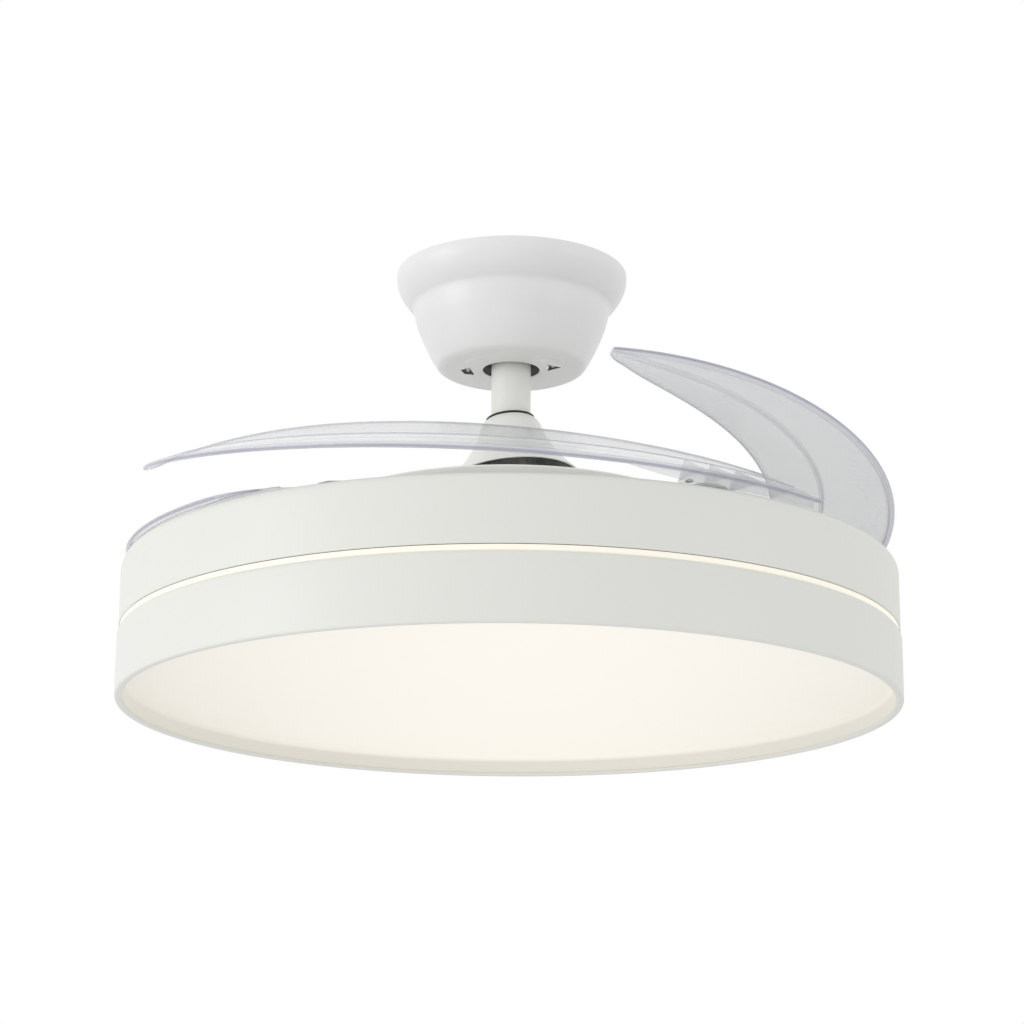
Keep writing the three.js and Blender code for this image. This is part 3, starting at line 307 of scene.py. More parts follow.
canopy_paint = white_paint(
    "canopy_paint", (0.835, 0.835, 0.832), (0.82, 0.821, 0.818), 0.34, 0.00003,
)
canopy_hole, canopy_bottom, canopy_inner_bottom = 18.7, -66, -64.4
bowl_outside = flowing([
    (76.5, -0.8), (76.5, -4.2), (75.8, -8.2), (74, -12.6), (71.4, -17), (68.4, -20.7), (66, -23.2),
    (64.8, -26), (63.7, -31), (61.9, -37.4), (58.4, -45.8), (54.8, -53.6), (51.6, -59.6),
    (48.4, -64.2), (44.4, canopy_bottom),
])
bowl_inside = [
    (canopy_hole, canopy_inner_bottom, 0.6), (43, canopy_inner_bottom, 4), (49.6, -59.6, 4),
    (56.9, -45.8, 10), (61, -33, 6), (63.2, -25.6, 2), (69.4, -16.6, 5), (73.8, -8.5, 4),
    (74.9, -0.2, 0.4),
]
canopy = turned("canopy_bowl", [
    *bowl_inside, (76.2, 0, 0), *bowl_outside, (canopy_hole, canopy_bottom, 0.8),
])
# The tab slots, seen from below: left and right of the rod
slot_outlines = (
    [(-33.2, -0.9, 0.6), (-27.4, -6.4, 0.8), (-24.4, 8.9, 0.6), (-31, 7, 0.8)],
    [(23.4, -13.4, 0.4), (32.9, -7.7, 0.5), (23.8, -0.2, 0.4), (25, -7.9, 0.8)],
)
slots = []
for outline in slot_outlines:
    corners = rounded(outline, 3)
    ends = [[(*corner, height) for corner in corners] for height in (-68, -62)]
    slots.append(slab("slot", *ends))
# The low pressed lugs beside the slots: place, turn, and half the size each way
lugs = []
for x, y, turn, long, wide, deep in (
    (-24, -21, -38, 8, 4.5, 1.1), (25.5, -20, 30, 7.5, 5, 1.6),
):
    lug = bmesh.new()
    bmesh.ops.create_uvsphere(lug, u_segments=40, v_segments=20, radius=1)
    place = Matrix.Translation((x * MM, y * MM, (canopy_bottom + 0.1) * MM))
    place = place @ Matrix.Rotation(math.radians(turn), 4, "Z")
    lug.transform(place @ Matrix.Diagonal((long * MM, wide * MM, deep * MM, 1)))
    lugs.append(finished("lug", meshed("lug", lug)))
worked(canopy, lugs, "UNION")
worked(canopy, slots)
# The canopy's inside faces are painted near black, as painted shade for the dim inside of the
# bowl.
mark_shaded_inside(canopy, -15)
fitted(canopy, canopy_paint, "ceiling_and_lamp", "white_paint", "canopy")

# ---------------------------------------------------------------------------
# Hanger bracket, with the ball that carries the rod and the pin through it. The
# bracket is bent zinc plated steel; the ball is moulded black plastic.


def block(name, low, high, rounding=0.0, segments=2):
    """A box between two corners in mm, with rounded edges."""
    shape = bmesh.new()
    bmesh.ops.create_cube(shape, size=1)
    low, high = Vector(low) * MM, Vector(high) * MM
    for vert in shape.verts:
        for axis in range(3):
            vert.co[axis] = low[axis] if vert.co[axis] < 0 else high[axis]
    if rounding > 0:
        bmesh.ops.bevel(
            shape, geom=list(shape.edges), offset=rounding * MM, segments=segments,
            profile=0.5, affect="EDGES",
        )
    return finished(name, meshed(name, shape))


def zinc_plate(name):
    """Zinc plated steel, with the soft spangle of the plating."""
    plate = Finish(name)
    spangle = plate.node("ShaderNodeTexVoronoi", {"Vector": plate.place(), "Scale": 260.0})
    cloud = plate.noise(34, 4)
    pattern = 0.7 * cloud + 0.3 * spangle
    return plate.done({
        "Base Color": plate.colours(pattern, (0.50, 0.51, 0.52), (0.66, 0.67, 0.68)),
        "Metallic": 1.0,
        "Roughness": 0.3 + 0.22 * cloud,
    })


def moulded(name, colour, roughness, grain=900.0):
    """Moulded plastic with a fine spark texture."""
    plastic = Finish(name)
    lighter = tuple(min(1, c * 1.25 + 0.004) for c in colour)
    return plastic.done({
        "Base Color": plastic.colours(plastic.noise(22, 3), colour, lighter),
        "Roughness": roughness + 0.12 * plastic.noise(60, 3),
        "Normal": plastic.bumps(plastic.noise(grain, 1), 0.00004, 0.8),
    })


def steel(name, colour, roughness):
    """Turned or rolled steel with fine tool marks."""
    metal = Finish(name)
    marks = metal.noise(340, 3)
    return metal.done({
        "Base Color": metal.colours(marks, colour, tuple(c * 0.86 for c in colour)),
        "Metallic": 1.0,
        "Roughness": roughness + 0.14 * metal.noise(90, 2),
        "Normal": metal.bumps(marks, 0.00001, 0.6),
    })


def dressed(node, material):
    """A CAD node whose shape is right takes its finish."""
    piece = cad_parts[node]
    piece.data.materials.clear()
    piece.data.materials.append(material)


def eased(node, material, body, slot, easing, low_above=0.0):
    """A copy of a CAD node with its sharp edges broken, as pressing and moulding leave them.
    What stands above the given height is pressed to a third of its own."""
    copy = bmesh.new()
    copy.from_mesh(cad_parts[node].data)
    for vert in copy.verts:
        if vert.co.z > low_above * MM:
            vert.co.z = low_above * MM + (vert.co.z - low_above * MM) * 0.3
    bmesh.ops.remove_doubles(copy, verts=copy.verts, dist=SAME_PLACE)
    bmesh.ops.dissolve_limit(
        copy, angle_limit=math.radians(2), verts=copy.verts, edges=copy.edges,
    )
    piece = finished(node + "_eased", meshed(node + "_eased", copy))
    easing_off = piece.modifiers.new("easing", "BEVEL")
    easing_off.width = easing * MM
    easing_off.segments = 2
    easing_off.limit_method = "ANGLE"
    easing_off.angle_limit = math.radians(40)
    easing_off.use_clamp_overlap = True
    settled(piece)
    piece.data.set_sharp_from_angle(angle=math.radians(32))
    return fitted(piece, material, body, slot, node)


zinc = zinc_plate("zinc_plate")
bright_steel = steel("bright_steel", (0.74, 0.75, 0.76), 0.34)
black_plastic = moulded("black_plastic", (0.022, 0.022, 0.024), 0.42)
eased("hanger_bracket", zinc, "ceiling_and_lamp", "zinc_steel", 0.35)
ball_radius, ball_middle, ball_half = 22, -40, 16.5
ball_points = []
for k in range(-8, 9):
    rise = ball_half * k / 8
    ball_points.append((math.sqrt(ball_radius ** 2 - rise ** 2), ball_middle + rise, 0.0))
ball = turned("rod_ball", [
    (13.3, ball_middle - ball_half, 0.3), *ball_points, (13.3, ball_middle + ball_half, 0.3),
], 64)
worked(ball, [block("pin_slot", (-3.3, -30, -27.3), (3.3, 30, -19.3))])
fitted(ball, black_plastic, "ceiling_and_lamp", "black_plastic", "hanger_ball")
dressed("ball_pin", bright_steel)
receiver = block("receiver_case", (-32, 24, -24.8), (32, 44, -2.8), 2.2, 3)
fitted(receiver, black_plastic, "ceiling_and_lamp", "black_plastic", "receiver_box")

# ---------------------------------------------------------------------------
# Downrod. A plain steel tube, painted the same white as the canopy. The real tube has a hole for
# the ball's pin above and one for the coupling bolt below; neither is cut here.
rod_paint = white_paint("rod_paint", (0.83, 0.84, 0.80), (0.81, 0.82, 0.78), 0.34, 0.00002)
rod = turned("rod_tube", [
    (11, -121.6, 0.4), (11, -16.4, 0.4), (13, -16.0, 0.5), (13, -122, 0.5),
], 96)
fitted(rod, rod_paint, "ceiling_and_lamp", "white_paint", "downrod")

# ---------------------------------------------------------------------------
# Coupling cover. A spun steel cone with a rounded crown that hides the joint of
# rod and shaft, and the black ring that keeps it from rattling on the rod.
cover_top, cover_hole = -100.8, 13.9
aside, back_lean, side_lean = -0.36, -4, -4.4
leaning = (
    Matrix.Translation((aside * MM, 0, cover_top * MM))
    @ Matrix.Rotation(math.radians(back_lean), 4, "X")
    @ Matrix.Rotation(math.radians(side_lean), 4, "Y")
    @ Matrix.Translation((0, 0, -cover_top * MM))
)
crown = flowing([
    (17, -0.9), (19.4, -4), (20.9, -8), (23.2, -14.5), (26.9, -21), (31.4, -27.6),
    (36.4, -34.2), (42.2, -40.4),
])
cover_inside = [
    (41, -40.9, 0.5), (29.8, -28.2, 10), (21.8, -15.6, 8), (19.1, -8.6, 4), (15.4, -2.4, 1),
    (cover_hole, -2.4, 0.3),
]
cover = turned("cover_cone", [
    (r, cover_top + below, rounding) for r, below, rounding in (
        (cover_hole, 0, 0.4), (16, -0.1, 0.8), *crown, (42.6, -40.9, 0.2), *cover_inside,
    )
], 160)
# The cone's inside faces are painted near black, as painted shade for the dim inside of the cone.
mark_shaded_inside(cover, cover_top - 36)
cover.data.transform(leaning)
fitted(cover, rod_paint, "ceiling_and_lamp", "white_paint", "coupling_cover")
rubber = moulded("black_rubber", (0.012, 0.012, 0.012), 0.6, 1400.0)
ring = turned("cover_ring", [
    (cover_hole, cover_top + 0.3, 0.3), (16, cover_top + 0.3, 0.5),
    (16, cover_top + 1.6, 0.6), (cover_hole, cover_top + 1.6, 0.3),
], 128)
ring.data.transform(leaning)
fitted(ring, rubber, "ceiling_and_lamp", "black_rubber", "cover_gasket")
for node in ("motor_coupling", "coupling_bolt", "motor_shaft"):
    dressed(node, bright_steel)

# ---------------------------------------------------------------------------
# Motor. Two cast aluminium housings turn on ball bearings round the fixed shaft,
# with a ring of magnets inside them and the wound stator in the middle.


def cast(name):
    """Sand cast aluminium: a fine grain and a dull, cloudy gloss."""
    metal = Finish(name)
    grain = metal.noise(520, 4, 0.6)
    return metal.done({
        "Base Color": metal.colours(grain, (0.46, 0.47, 0.48), (0.60, 0.61, 0.62)),
        "Metallic": 1.0,
        "Roughness": 0.42 + 0.2 * metal.noise(70, 3),
        "Normal": metal.bumps(grain, 0.00005, 0.8),
    })


aluminium = cast("cast_aluminium")
bearing_seat, housing_inside, housing_outside = 17.2, 90, 92.5
lower_housing = turned("housing_lower", [
    (bearing_seat, -195.7, 0.3), (104, -195.7, 0.8), (104, -192.8, 0.6), (99.4, -192.8, 0.3),
    (99.4, -188.4, 0.8), (housing_outside, -188.4, 0.6), (housing_outside, -181, 0.5),
    (housing_inside, -181, 0.3), (housing_inside, -193.2, 0.8), (20, -193.2, 0.8),
    (20, -186.7, 0.5), (bearing_seat, -186.7, 0.3),
], 128, 3)
fitted(lower_housing, aluminium, "rotor", "cast_aluminium", "rotor_housing_bottom")
upper_housing = turned("housing_upper", [
    (bearing_seat, -172, 0.3), (20, -172, 0.5), (20, -165.5, 0.8), (89.9, -169.2, 1),
    (housing_inside, -180.7, 0.3), (housing_outside, -180.7, 0.5),
    (housing_outside, -169.2, 0.6), (122.4, -169.2, 1.2), (122.4, -173.6, 0.4),
    (124, -173.6, 0.5), (124, -167.6, 1), (122.5, -166.4, 1.2), (60, -163, 8),
    (bearing_seat, -163, 0.5),
], 192, 4)
# The lid's white is lighter than the other whites. This is painted light, which makes up for the
# shade that the drum and blades put on it.
lid_paint = white_paint("lid_paint", (0.93, 0.94, 0.90), (0.91, 0.92, 0.88), 0.42, 0.00003)
fitted(upper_housing, lid_paint, "rotor", "white_paint", "rotor_housing_top")
for node in ("bearing_lower", "bearing_upper", "stator_core"):
    dressed(node, bright_steel)
copper = steel("copper_wire", (0.62, 0.28, 0.13), 0.3)
dressed("winding_upper", copper)
dressed("winding_lower", copper)
dressed("rotor_magnets", moulded("magnet_ferrite", (0.03, 0.03, 0.033), 0.5))

# ---------------------------------------------------------------------------
# Blade carrier and blade works. A pressed steel plate carries the four riveted
# pivots; the toothed nylon ring makes the four arms swing together.
grey_plastic = moulded("grey_nylon", (0.16, 0.165, 0.17), 0.44)
eased("blade_carrier", zinc, "rotor", "zinc_steel", 0.4)
dressed("sync_ring", grey_plastic)
BLADES = ("front", "right", "rear", "left")
PIVOT_RADIUS = 168


def heading(index):
    """The direction of a blade's pivot, in degrees."""
    return -38.6 + 90 * index


def node_group(name, *sockets):
    """An empty geometry tree with named inputs, its input and output nodes ready."""
    tree = bpy.data.node_groups.new(name, "GeometryNodeTree")
    tree.interface.new_socket("Geometry", in_out="OUTPUT", socket_type="NodeSocketGeometry")
    tree.interface.new_socket("Geometry", in_out="INPUT", socket_type="NodeSocketGeometry")
    for title, kind in sockets:
        tree.interface.new_socket(title, in_out="INPUT", socket_type=kind)
    return tree, tree.nodes.new("NodeGroupInput"), tree.nodes.new("NodeGroupOutput")


def grown(name, tree, base, **values):
    """The mesh that a geometry tree makes on a base mesh, as an object of its own."""
    piece = bpy.data.objects.new(name, base)
    bpy.context.scene.collection.objects.link(piece)
    growth = piece.modifiers.new("growth", "NODES")
    growth.node_group = tree
    sockets = {item.name: item.identifier for item in tree.interface.items_tree}
    for title, value in values.items():
        growth[sockets[title.replace("_", " ").title()]] = value
    return settled(piece)


def spring_tree():
    """Round wire wound on a helix."""
    tree, given, out = node_group(
        "torsion_spring", ("Coil Radius", "NodeSocketFloat"), ("Wire Radius", "NodeSocketFloat"),
        ("Height", "NodeSocketFloat"), ("Turns", "NodeSocketFloat"),
        ("Material", "NodeSocketMaterial"),
    )
    spiral = tree.nodes.new("GeometryNodeCurveSpiral")
    spiral.inputs["Resolution"].default_value = 40
    wire = tree.nodes.new("GeometryNodeCurvePrimitiveCircle")
    wire.inputs["Resolution"].default_value = 12
    sweep = tree.nodes.new("GeometryNodeCurveToMesh")
    sweep.inputs["Fill Caps"].default_value = True
    real = tree.nodes.new("GeometryNodeRealizeInstances")
    paint = tree.nodes.new("GeometryNodeSetMaterial")
    link = tree.links.new
    link(given.outputs["Coil Radius"], spiral.inputs["Start Radius"])
    link(given.outputs["Coil Radius"], spiral.inputs["End Radius"])
    link(given.outputs["Height"], spiral.inputs["Height"])
    link(given.outputs["Turns"], spiral.inputs["Rotations"])
    link(given.outputs["Wire Radius"], wire.inputs["Radius"])
    link(spiral.outputs["Curve"], sweep.inputs["Curve"])
    link(wire.outputs["Curve"], sweep.inputs["Profile Curve"])
    link(sweep.outputs["Mesh"], real.inputs["Geometry"])
    link(real.outputs["Geometry"], paint.inputs["Geometry"])
    link(given.outputs["Material"], paint.inputs["Material"])
    link(paint.outputs["Geometry"], out.inputs["Geometry"])
    return tree


def fastener_tree():
    """A screw head on each point of the base mesh, turned by a fixed random angle."""
    tree, given, out = node_group(
        "fasteners", ("Head", "NodeSocketObject"), ("Scale", "NodeSocketFloat"),
        ("Seed", "NodeSocketInt"), ("Material", "NodeSocketMaterial"),
    )
    points = tree.nodes.new("GeometryNodeMeshToPoints")
    head = tree.nodes.new("GeometryNodeObjectInfo")
    angle = tree.nodes.new("FunctionNodeRandomValue")
    angle.data_type = "FLOAT_VECTOR"
    angle.inputs[0].default_value = (0, 0, 0)
    angle.inputs[1].default_value = (0, 0, math.tau)
    spread = tree.nodes.new("GeometryNodeInstanceOnPoints")
    real = tree.nodes.new("GeometryNodeRealizeInstances")
    paint = tree.nodes.new("GeometryNodeSetMaterial")
    link = tree.links.new
    link(given.outputs["Geometry"], points.inputs["Mesh"])
    link(given.outputs["Head"], head.inputs["Object"])
    link(given.outputs["Seed"], angle.inputs["Seed"])
    link(points.outputs["Points"], spread.inputs["Points"])
    link(head.outputs["Geometry"], spread.inputs["Instance"])
    link(angle.outputs[0], spread.inputs["Rotation"])
    link(given.outputs["Scale"], spread.inputs["Scale"])
    link(spread.outputs["Instances"], real.inputs["Geometry"])
    link(real.outputs["Geometry"], paint.inputs["Geometry"])
    link(given.outputs["Material"], paint.inputs["Material"])
    link(paint.outputs["Geometry"], out.inputs["Geometry"])
    return tree


def points_mesh(name, points):
    """Bare points in mm, for the trees to grow on."""
    mesh = bpy.data.meshes.new(name)
    mesh.from_pydata([Vector(point) * MM for point in points], [], [])
    return mesh


def round_about(r, degrees, z, pivot_degrees=0.0):
    """A point at a radius and a direction, counted from a pivot's own direction."""
    angle = math.radians(pivot_degrees + degrees)
    return (r * math.cos(angle), r * math.sin(angle), z)


def satin_nickel(name):
    """A pale satin plating that scatters most of what it reflects."""
    plating = Finish(name)
    haze = plating.noise(150, 3)
    return plating.done({
        "Base Color": plating.colours(haze, (0.86, 0.86, 0.85), (0.80, 0.80, 0.79)),
        "Metallic": 0.35,
        "Roughness": 0.5 + 0.12 * haze,
    })


# A pan head with a cross recess, drawn 1 mm in radius and scaled where it is used.
pan_head = turned("pan_head", [
    (0, 0, 0), (1, 0, 0.05), (1, 0.34, 0.3), (0.62, 0.62, 0.3), (0, 0.66, 0),
], 28, 3)
worked(pan_head, [
    block("recess", (-0.62, -0.11, 0.3), (0.62, 0.11, 1)),
    block("recess", (-0.11, -0.62, 0.3), (0.11, 0.62, 1)),
])
fastener = fastener_tree()
spring = spring_tree()


def screwed(name, points, size, seed, material, body, slot):
    """Screws of one size on one body."""
    base = points_mesh(name, points)
    screws = grown(
        name, fastener, base, head=pan_head, scale=float(size), seed=seed, material=material,
    )
    return fitted(screws, material, body, slot)


nickel = satin_nickel("satin_nickel")
arm_paint = white_paint("arm_paint", (0.83, 0.84, 0.81), (0.81, 0.82, 0.79), 0.5, 0.00004)
low_above, coil_foot = -184.2, -187.4
for index, name in enumerate(BLADES):
    eased(f"hinge_arm_{name}", arm_paint, f"blade_{name}", "bright_steel", 0.25, low_above)
    eased(f"pivot_pin_{name}", arm_paint, "rotor", "bright_steel", 0.15, low_above)
    coil = grown(
        f"coil_{name}", spring, points_mesh("coil", [(0, 0, 0)]), coil_radius=10.2 * MM,
        wire_radius=0.85 * MM, height=3.6 * MM, turns=1.5, material=nickel,
    )
    coil.data.transform(
        Matrix.Rotation(math.radians(heading(index)), 4, "Z")
        @ Matrix.Translation((PIVOT_RADIUS * MM, 0, coil_foot * MM))
    )
    fitted(coil, nickel, "rotor", "bright_steel", f"blade_spring_{name}")
    dressed(f"stop_bumper_{name}", rubber)
lid_screws = [round_about(112, 15 + 60 * k, -166.05) for k in range(6)]
screwed("lid_screws", lid_screws, 3.2, 4, bright_steel, "rotor", "bright_steel")

# ---------------------------------------------------------------------------
# Blades. Each is one clear plastic moulding: a crescent sheet with a thick rim
# outside, a low rib along its middle, and a flat root with three gussets.


def clear_plastic(name):
    """Clear plastic gone slightly milky. The thick edge looks lavender, with painted shade lines
    and painted highlight lines along it, and the sheet has the faint clouds of a moulded part."""
    clear = Finish(name)
    edge = clear.marked("thick_edge")
    streak = clear.marked("streak")
    cloud = clear.noise(13, 4, 0.6)
    wisps = clear.noise(45, 3, 0.65)
    sheet = clear.colours((cloud * 1.7 - 0.35).kept(), (0.62, 0.65, 0.665), (0.74, 0.75, 0.77))
    tinted = clear.colours((edge * (0.7 + 0.5 * wisps)).kept(), sheet, (0.57, 0.57, 0.68))
    # Painted shade lines where the mark is below 0 and painted highlight lines where it is above
    # 0. Both are also less clear.
    dark = (0.0 - streak).kept()
    painted_highlight = streak.kept()
    marked = clear.colours(dark, tinted, (0.26, 0.26, 0.34))
    lit = clear.colours(painted_highlight, marked, (0.93, 0.93, 0.96))
    return clear.done({
        "Base Color": lit,
        "Roughness": 0.1 + 0.08 * clear.noise(110, 2),
        "IOR": 1.5,
        "Alpha": (0.28 + 0.12 * cloud + 0.22 * edge + 0.35 * dark + 0.3 * painted_highlight).kept(),
        "Normal": clear.bumps(cloud, 0.0005, 0.18),
    })


# A blade's course. The share u runs from 0 at the heel to 1 at the tip, through SWEEP
# degrees; its heights are counted up from the lamp's lower rim, DROP under the ceiling.
SWEEP = 127.6
DROP = 294
SHELF_UNDER, SHELF_TOP, SHELF_INNER = -192.3, -189.3, 184
SKIRT_FOOT = -205.9
CLEARER = -0.7


def outer_radius(u):
    return 247.5 - 8.5 * u * u


def breadth(u):
    return 51 + 140 * u


def tip_fall(u):
    """How breadth and rise fall to nothing towards the tip."""
    return max(1 - u, 0.0) ** 0.6


def skinned(shape, rows):
    """Faces between each row of corners and the next, all the way round."""
    for row, following in zip(rows, rows[1:]):
        for place in range(len(row)):
            beside = (place + 1) % len(row)
            shape.faces.new((row[place], row[beside], following[beside], following[place]))


def crescent(name, outer_height, rise, rib_place, swell, reach, stations=150):
    """The sheet as a closed skin of sections from the heel to the tip."""
    shape = bmesh.new()
    thick_edge = shape.verts.layers.float.new("thick_edge")
    streak = shape.verts.layers.float.new("streak")
    rows = []
    # Across the thick edge and the rib: place, half thickness, lavender, and a painted line, which
    # is shade where it is below 0 and a highlight where it is above 0
    bead = (
        (0, 0.2, 0.8, -0.8), (0.12, 0.75, 0.8, -0.5), (0.4, 1.2, 0.8, 0.1),
        (0.8, 1.55, 0.9, 0.0), (1.4, 1.75, 0.8, 0.0), (2.0, 1.8, 0.5, 0.5),
        (2.5, 1.75, 0.5, 0.6), (3.0, 1.7, 0.8, -0.1), (3.5, 1.6, 0.7, -0.6),
        (3.9, 1.45, 0.4, 0.2), (4.5, 1.25, 0.3, 0.45), (5.4, 1.1, 0.15, 0.0),
    )
    middle = (
        (-2.4, 1.1, 0.0, 0.0), (-1.5, 1.12, 0.1, 0.3), (-0.95, 1.3, 0.3, -0.75),
        (-0.5, 1.65, 0.2, -0.35), (0.1, 1.7, 0.1, 0.35), (0.6, 1.62, 0.2, -0.1),
        (1.0, 1.3, 0.2, -0.4), (1.5, 1.12, 0.0, 0.0),
    )
    for station in range(stations):
        # The stations stand closer together towards the tip, and evenly at the heel
        t = station / (stations - 1)
        even, last = 0.04, 0.9985
        u = last * (1 - (1 - t) ** 1.5) if t > even else last * (1 - (1 - even) ** 1.5) * t / even
        blunt = 4.4 * max(0.0, 1 - (1 - u) / 0.026)
        width = tip_fall(u) * breadth(u) + blunt
        # Everything across the sheet shrinks where it is narrow, and the edge thins at the heel
        small = min(1.0, width / 13)
        thin = min(1.0, 0.45 + u / 0.1)
        # The heel's outer corner is rounded over its first 7 degrees
        early = max(0.0, 1 - u * SWEEP / 7)
        trim = 13 * (1 - math.sqrt(1 - early * early))
        rib = width * rib_place(u)
        first = 6.4 * small
        top = [(a * small, h * small * thin, edge, painted_line) for a, h, edge, painted_line in bead]
        top.append((max(rib - 9, first), 1.1 * small, 0.0, 0.0))
        for along, half, edge, painted_line in middle:
            place = max(rib + along, first + (along + 2.6) * 0.4)
            top.append((place, half * small, edge * small, painted_line * small))
        # At the inner edge, a faint painted highlight line, then painted shade lines.
        top.append((max(width - 4 * small, top[-1][0] + 0.05), 1.0 * small, 0.0, 0.0))
        top.append((max(width - 1.3 * small, top[-1][0] + 0.05), 0.85 * small, 0.2, 0.15))
        top.append((max(width - 0.5 * small, top[-1][0] + 0.03), 0.65 * small, 0.5, -0.35))
        top.append((max(width, top[-1][0] + 0.02), 0.2 * small, 0.6, -0.6))
        bottom = [
            (a, -min(h, 2.35 if a < 5 * small else 1.1), edge, painted_line)
            for a, h, edge, painted_line in reversed(top)
        ]
        climb = tip_fall(u) * rise(u)
        chord = math.hypot(width, climb)
        lean_r, lean_z = -width / chord, climb / chord
        angle = -math.radians(SWEEP * u * (1 + (reach - 1) * u))
        rim_radius = outer_radius(u) + swell * math.sin(math.pi * u)
        row = []
        for across, off, edge, painted_line in (*top, *bottom):
            squeezed = (trim + across * (1 - trim / width)) * chord / width
            r = rim_radius + squeezed * lean_r + off * lean_z
            z = outer_height(u) - DROP + squeezed * lean_z - off * lean_r
            vert = shape.verts.new(
                (r * math.cos(angle) * MM, r * math.sin(angle) * MM, z * MM)
            )
            vert[thick_edge] = edge
            vert[streak] = painted_line
            row.append(vert)
        rows.append(row)
    skinned(shape, rows)
    half = len(rows[0]) // 2
    for row in (rows[0], rows[-1]):
        for place in range(half - 1):
            shape.faces.new((row[place], row[place + 1], row[-place - 2], row[-place - 1]))
    bmesh.ops.recalc_face_normals(shape, faces=shape.faces)
    return finished(name, meshed(name, shape), 50)


def root(name, outer_height, rise, skirt_turn):
    """The flat root under the heel, its three gussets and the skirt under the thick edge."""

    def lean(u):
        return rise(u) / breadth(u)

    def sheet(u, r):
        return outer_height(u) - DROP + lean(u) * (outer_radius(u) - r)

    def shelf_reach(degrees):
        """The radius at which the shelf meets the leaning sheet."""
        u = degrees / SWEEP
        fall = outer_height(u) - DROP - SHELF_UNDER - 1.5
        return outer_radius(u) + fall / lean(u) - 3

    def at(r, degrees, z):
        return round_about(r, -degrees, z)

    outer_side = [4 + 18.6 * k / 16 for k in range(17)]
    outline = [(shelf_reach(degrees), degrees) for degrees in outer_side]
    outline += [(204, 22.2), (197, 21), (191, 18.8), (186, 16.6), (SHELF_INNER, 14.5)]
    outline += [(SHELF_INNER, 14.5 - 7.5 * k / 4) for k in range(1, 5)]
    outline += [(187, 5.2), (194, 4)]
    faces = [[at(r, degrees, z) for r, degrees in outline] for z in (SHELF_UNDER, SHELF_TOP)]
    pieces = [slab(name, *faces)]
    for degrees in (9, 15, 20.5):
        u = degrees / SWEEP
        span = shelf_reach(degrees) - SHELF_INNER
        near, top, far = (SHELF_INNER + share * span for share in (0.2, 0.42, 0.93))
        sides = []
        for turn in (-1, 1):
            corners = []
            for r, foot in ((near, True), (far, True), (far, False), (top, False)):
                side = degrees + turn * math.degrees(1 / r)
                corners.append(at(r, side, SHELF_UNDER + 1 if foot else sheet(u, r)))
            sides.append(corners)
        pieces.append(slab(name, *sides))
    for piece in pieces:
        clearness = piece.data.attributes.new("thick_edge", "FLOAT", "POINT")
        clearness.data.foreach_set("value", [CLEARER] * len(piece.data.vertices))
    shape = bmesh.new()
    thick_edge = shape.verts.layers.float.new("thick_edge")
    streak = shape.verts.layers.float.new("streak")
    rows = []
    skirt_start, skirt_end, steps = 0.04, 0.285, 40
    for step in range(steps + 1):
        u = skirt_start + (skirt_end - skirt_start) * step / steps
        outer = outer_radius(u) - 1
        climb = max(0.0, (u - skirt_turn) / (skirt_end - skirt_turn)) ** 1.5
        edge = sheet(u, outer)
        foot = SKIRT_FOOT + (edge - 0.6 - SKIRT_FOOT) * climb
        section = (
            (outer, edge), (outer - 2, sheet(u, outer - 2)), (outer - 2, foot + 0.3),
            (outer - 1.6, foot), (outer - 0.4, foot), (outer, foot + 0.3),
        )
        rows.append([shape.verts.new(Vector(at(r, SWEEP * u, z)) * MM) for r, z in section])
        for place, vert in enumerate(rows[-1]):
            vert[thick_edge] = CLEARER
            # Where the skirt meets the sheet it gets a faint painted highlight, and lower down a
            # faint painted shade.
            vert[streak] = -0.12 if place > 1 else 0.1
    skinned(shape, rows)
    shape.faces.new(rows[0])
    shape.faces.new(rows[-1])
    bmesh.ops.recalc_face_normals(shape, faces=shape.faces)
    pieces.append(finished(name, meshed(name, shape)))
    return pieces


# Heights of the outer rim, and how far the sheet rises from it to its inner edge. The
# four blades hang a little differently, as loosely folded blades do.
def low_height(u):
    return 92.5 + 45.4 * u ** 2 + 5.1 * u ** 5


def low_rise(u):
    return 29 + 56 * u


def far_height(u):
    return 92.5 + 31.4 * u ** 2 + 5.1 * u ** 5


def high_height(u):
    return 92.5 + 72.5 * (3 * u ** 2 - 2 * u ** 3)


def high_rise(u):
    return 32 - 56 * u ** 2


def flat_heel_height(u):
    return 89.8 + 51.7 * u ** 2.4


def flat_heel_rise(u):
    return low_rise(u) - 16 * max(1 - u / 0.7, 0) ** 1.35


# The rib's place across the sheet, as a share of its width
def low_rib(u):
    return 0.47 - 0.12 * u


def high_rib(u):
    return 0.72 - 0.30 * u


def whole_blade(name, outer_height, rise, rib_place, swell, reach, skirt_turn=0.19):
    """Sheet and root in one, still pointing along +X. Swell is the rim's bulge in mm, reach
    stretches the sweep, and the skirt begins to climb at its turn."""
    sheet = crescent(name, outer_height, rise, rib_place, swell, reach)
    parts = root("root", outer_height, rise, skirt_turn)
    return worked(sheet, parts, "UNION", 50, "MANIFOLD")


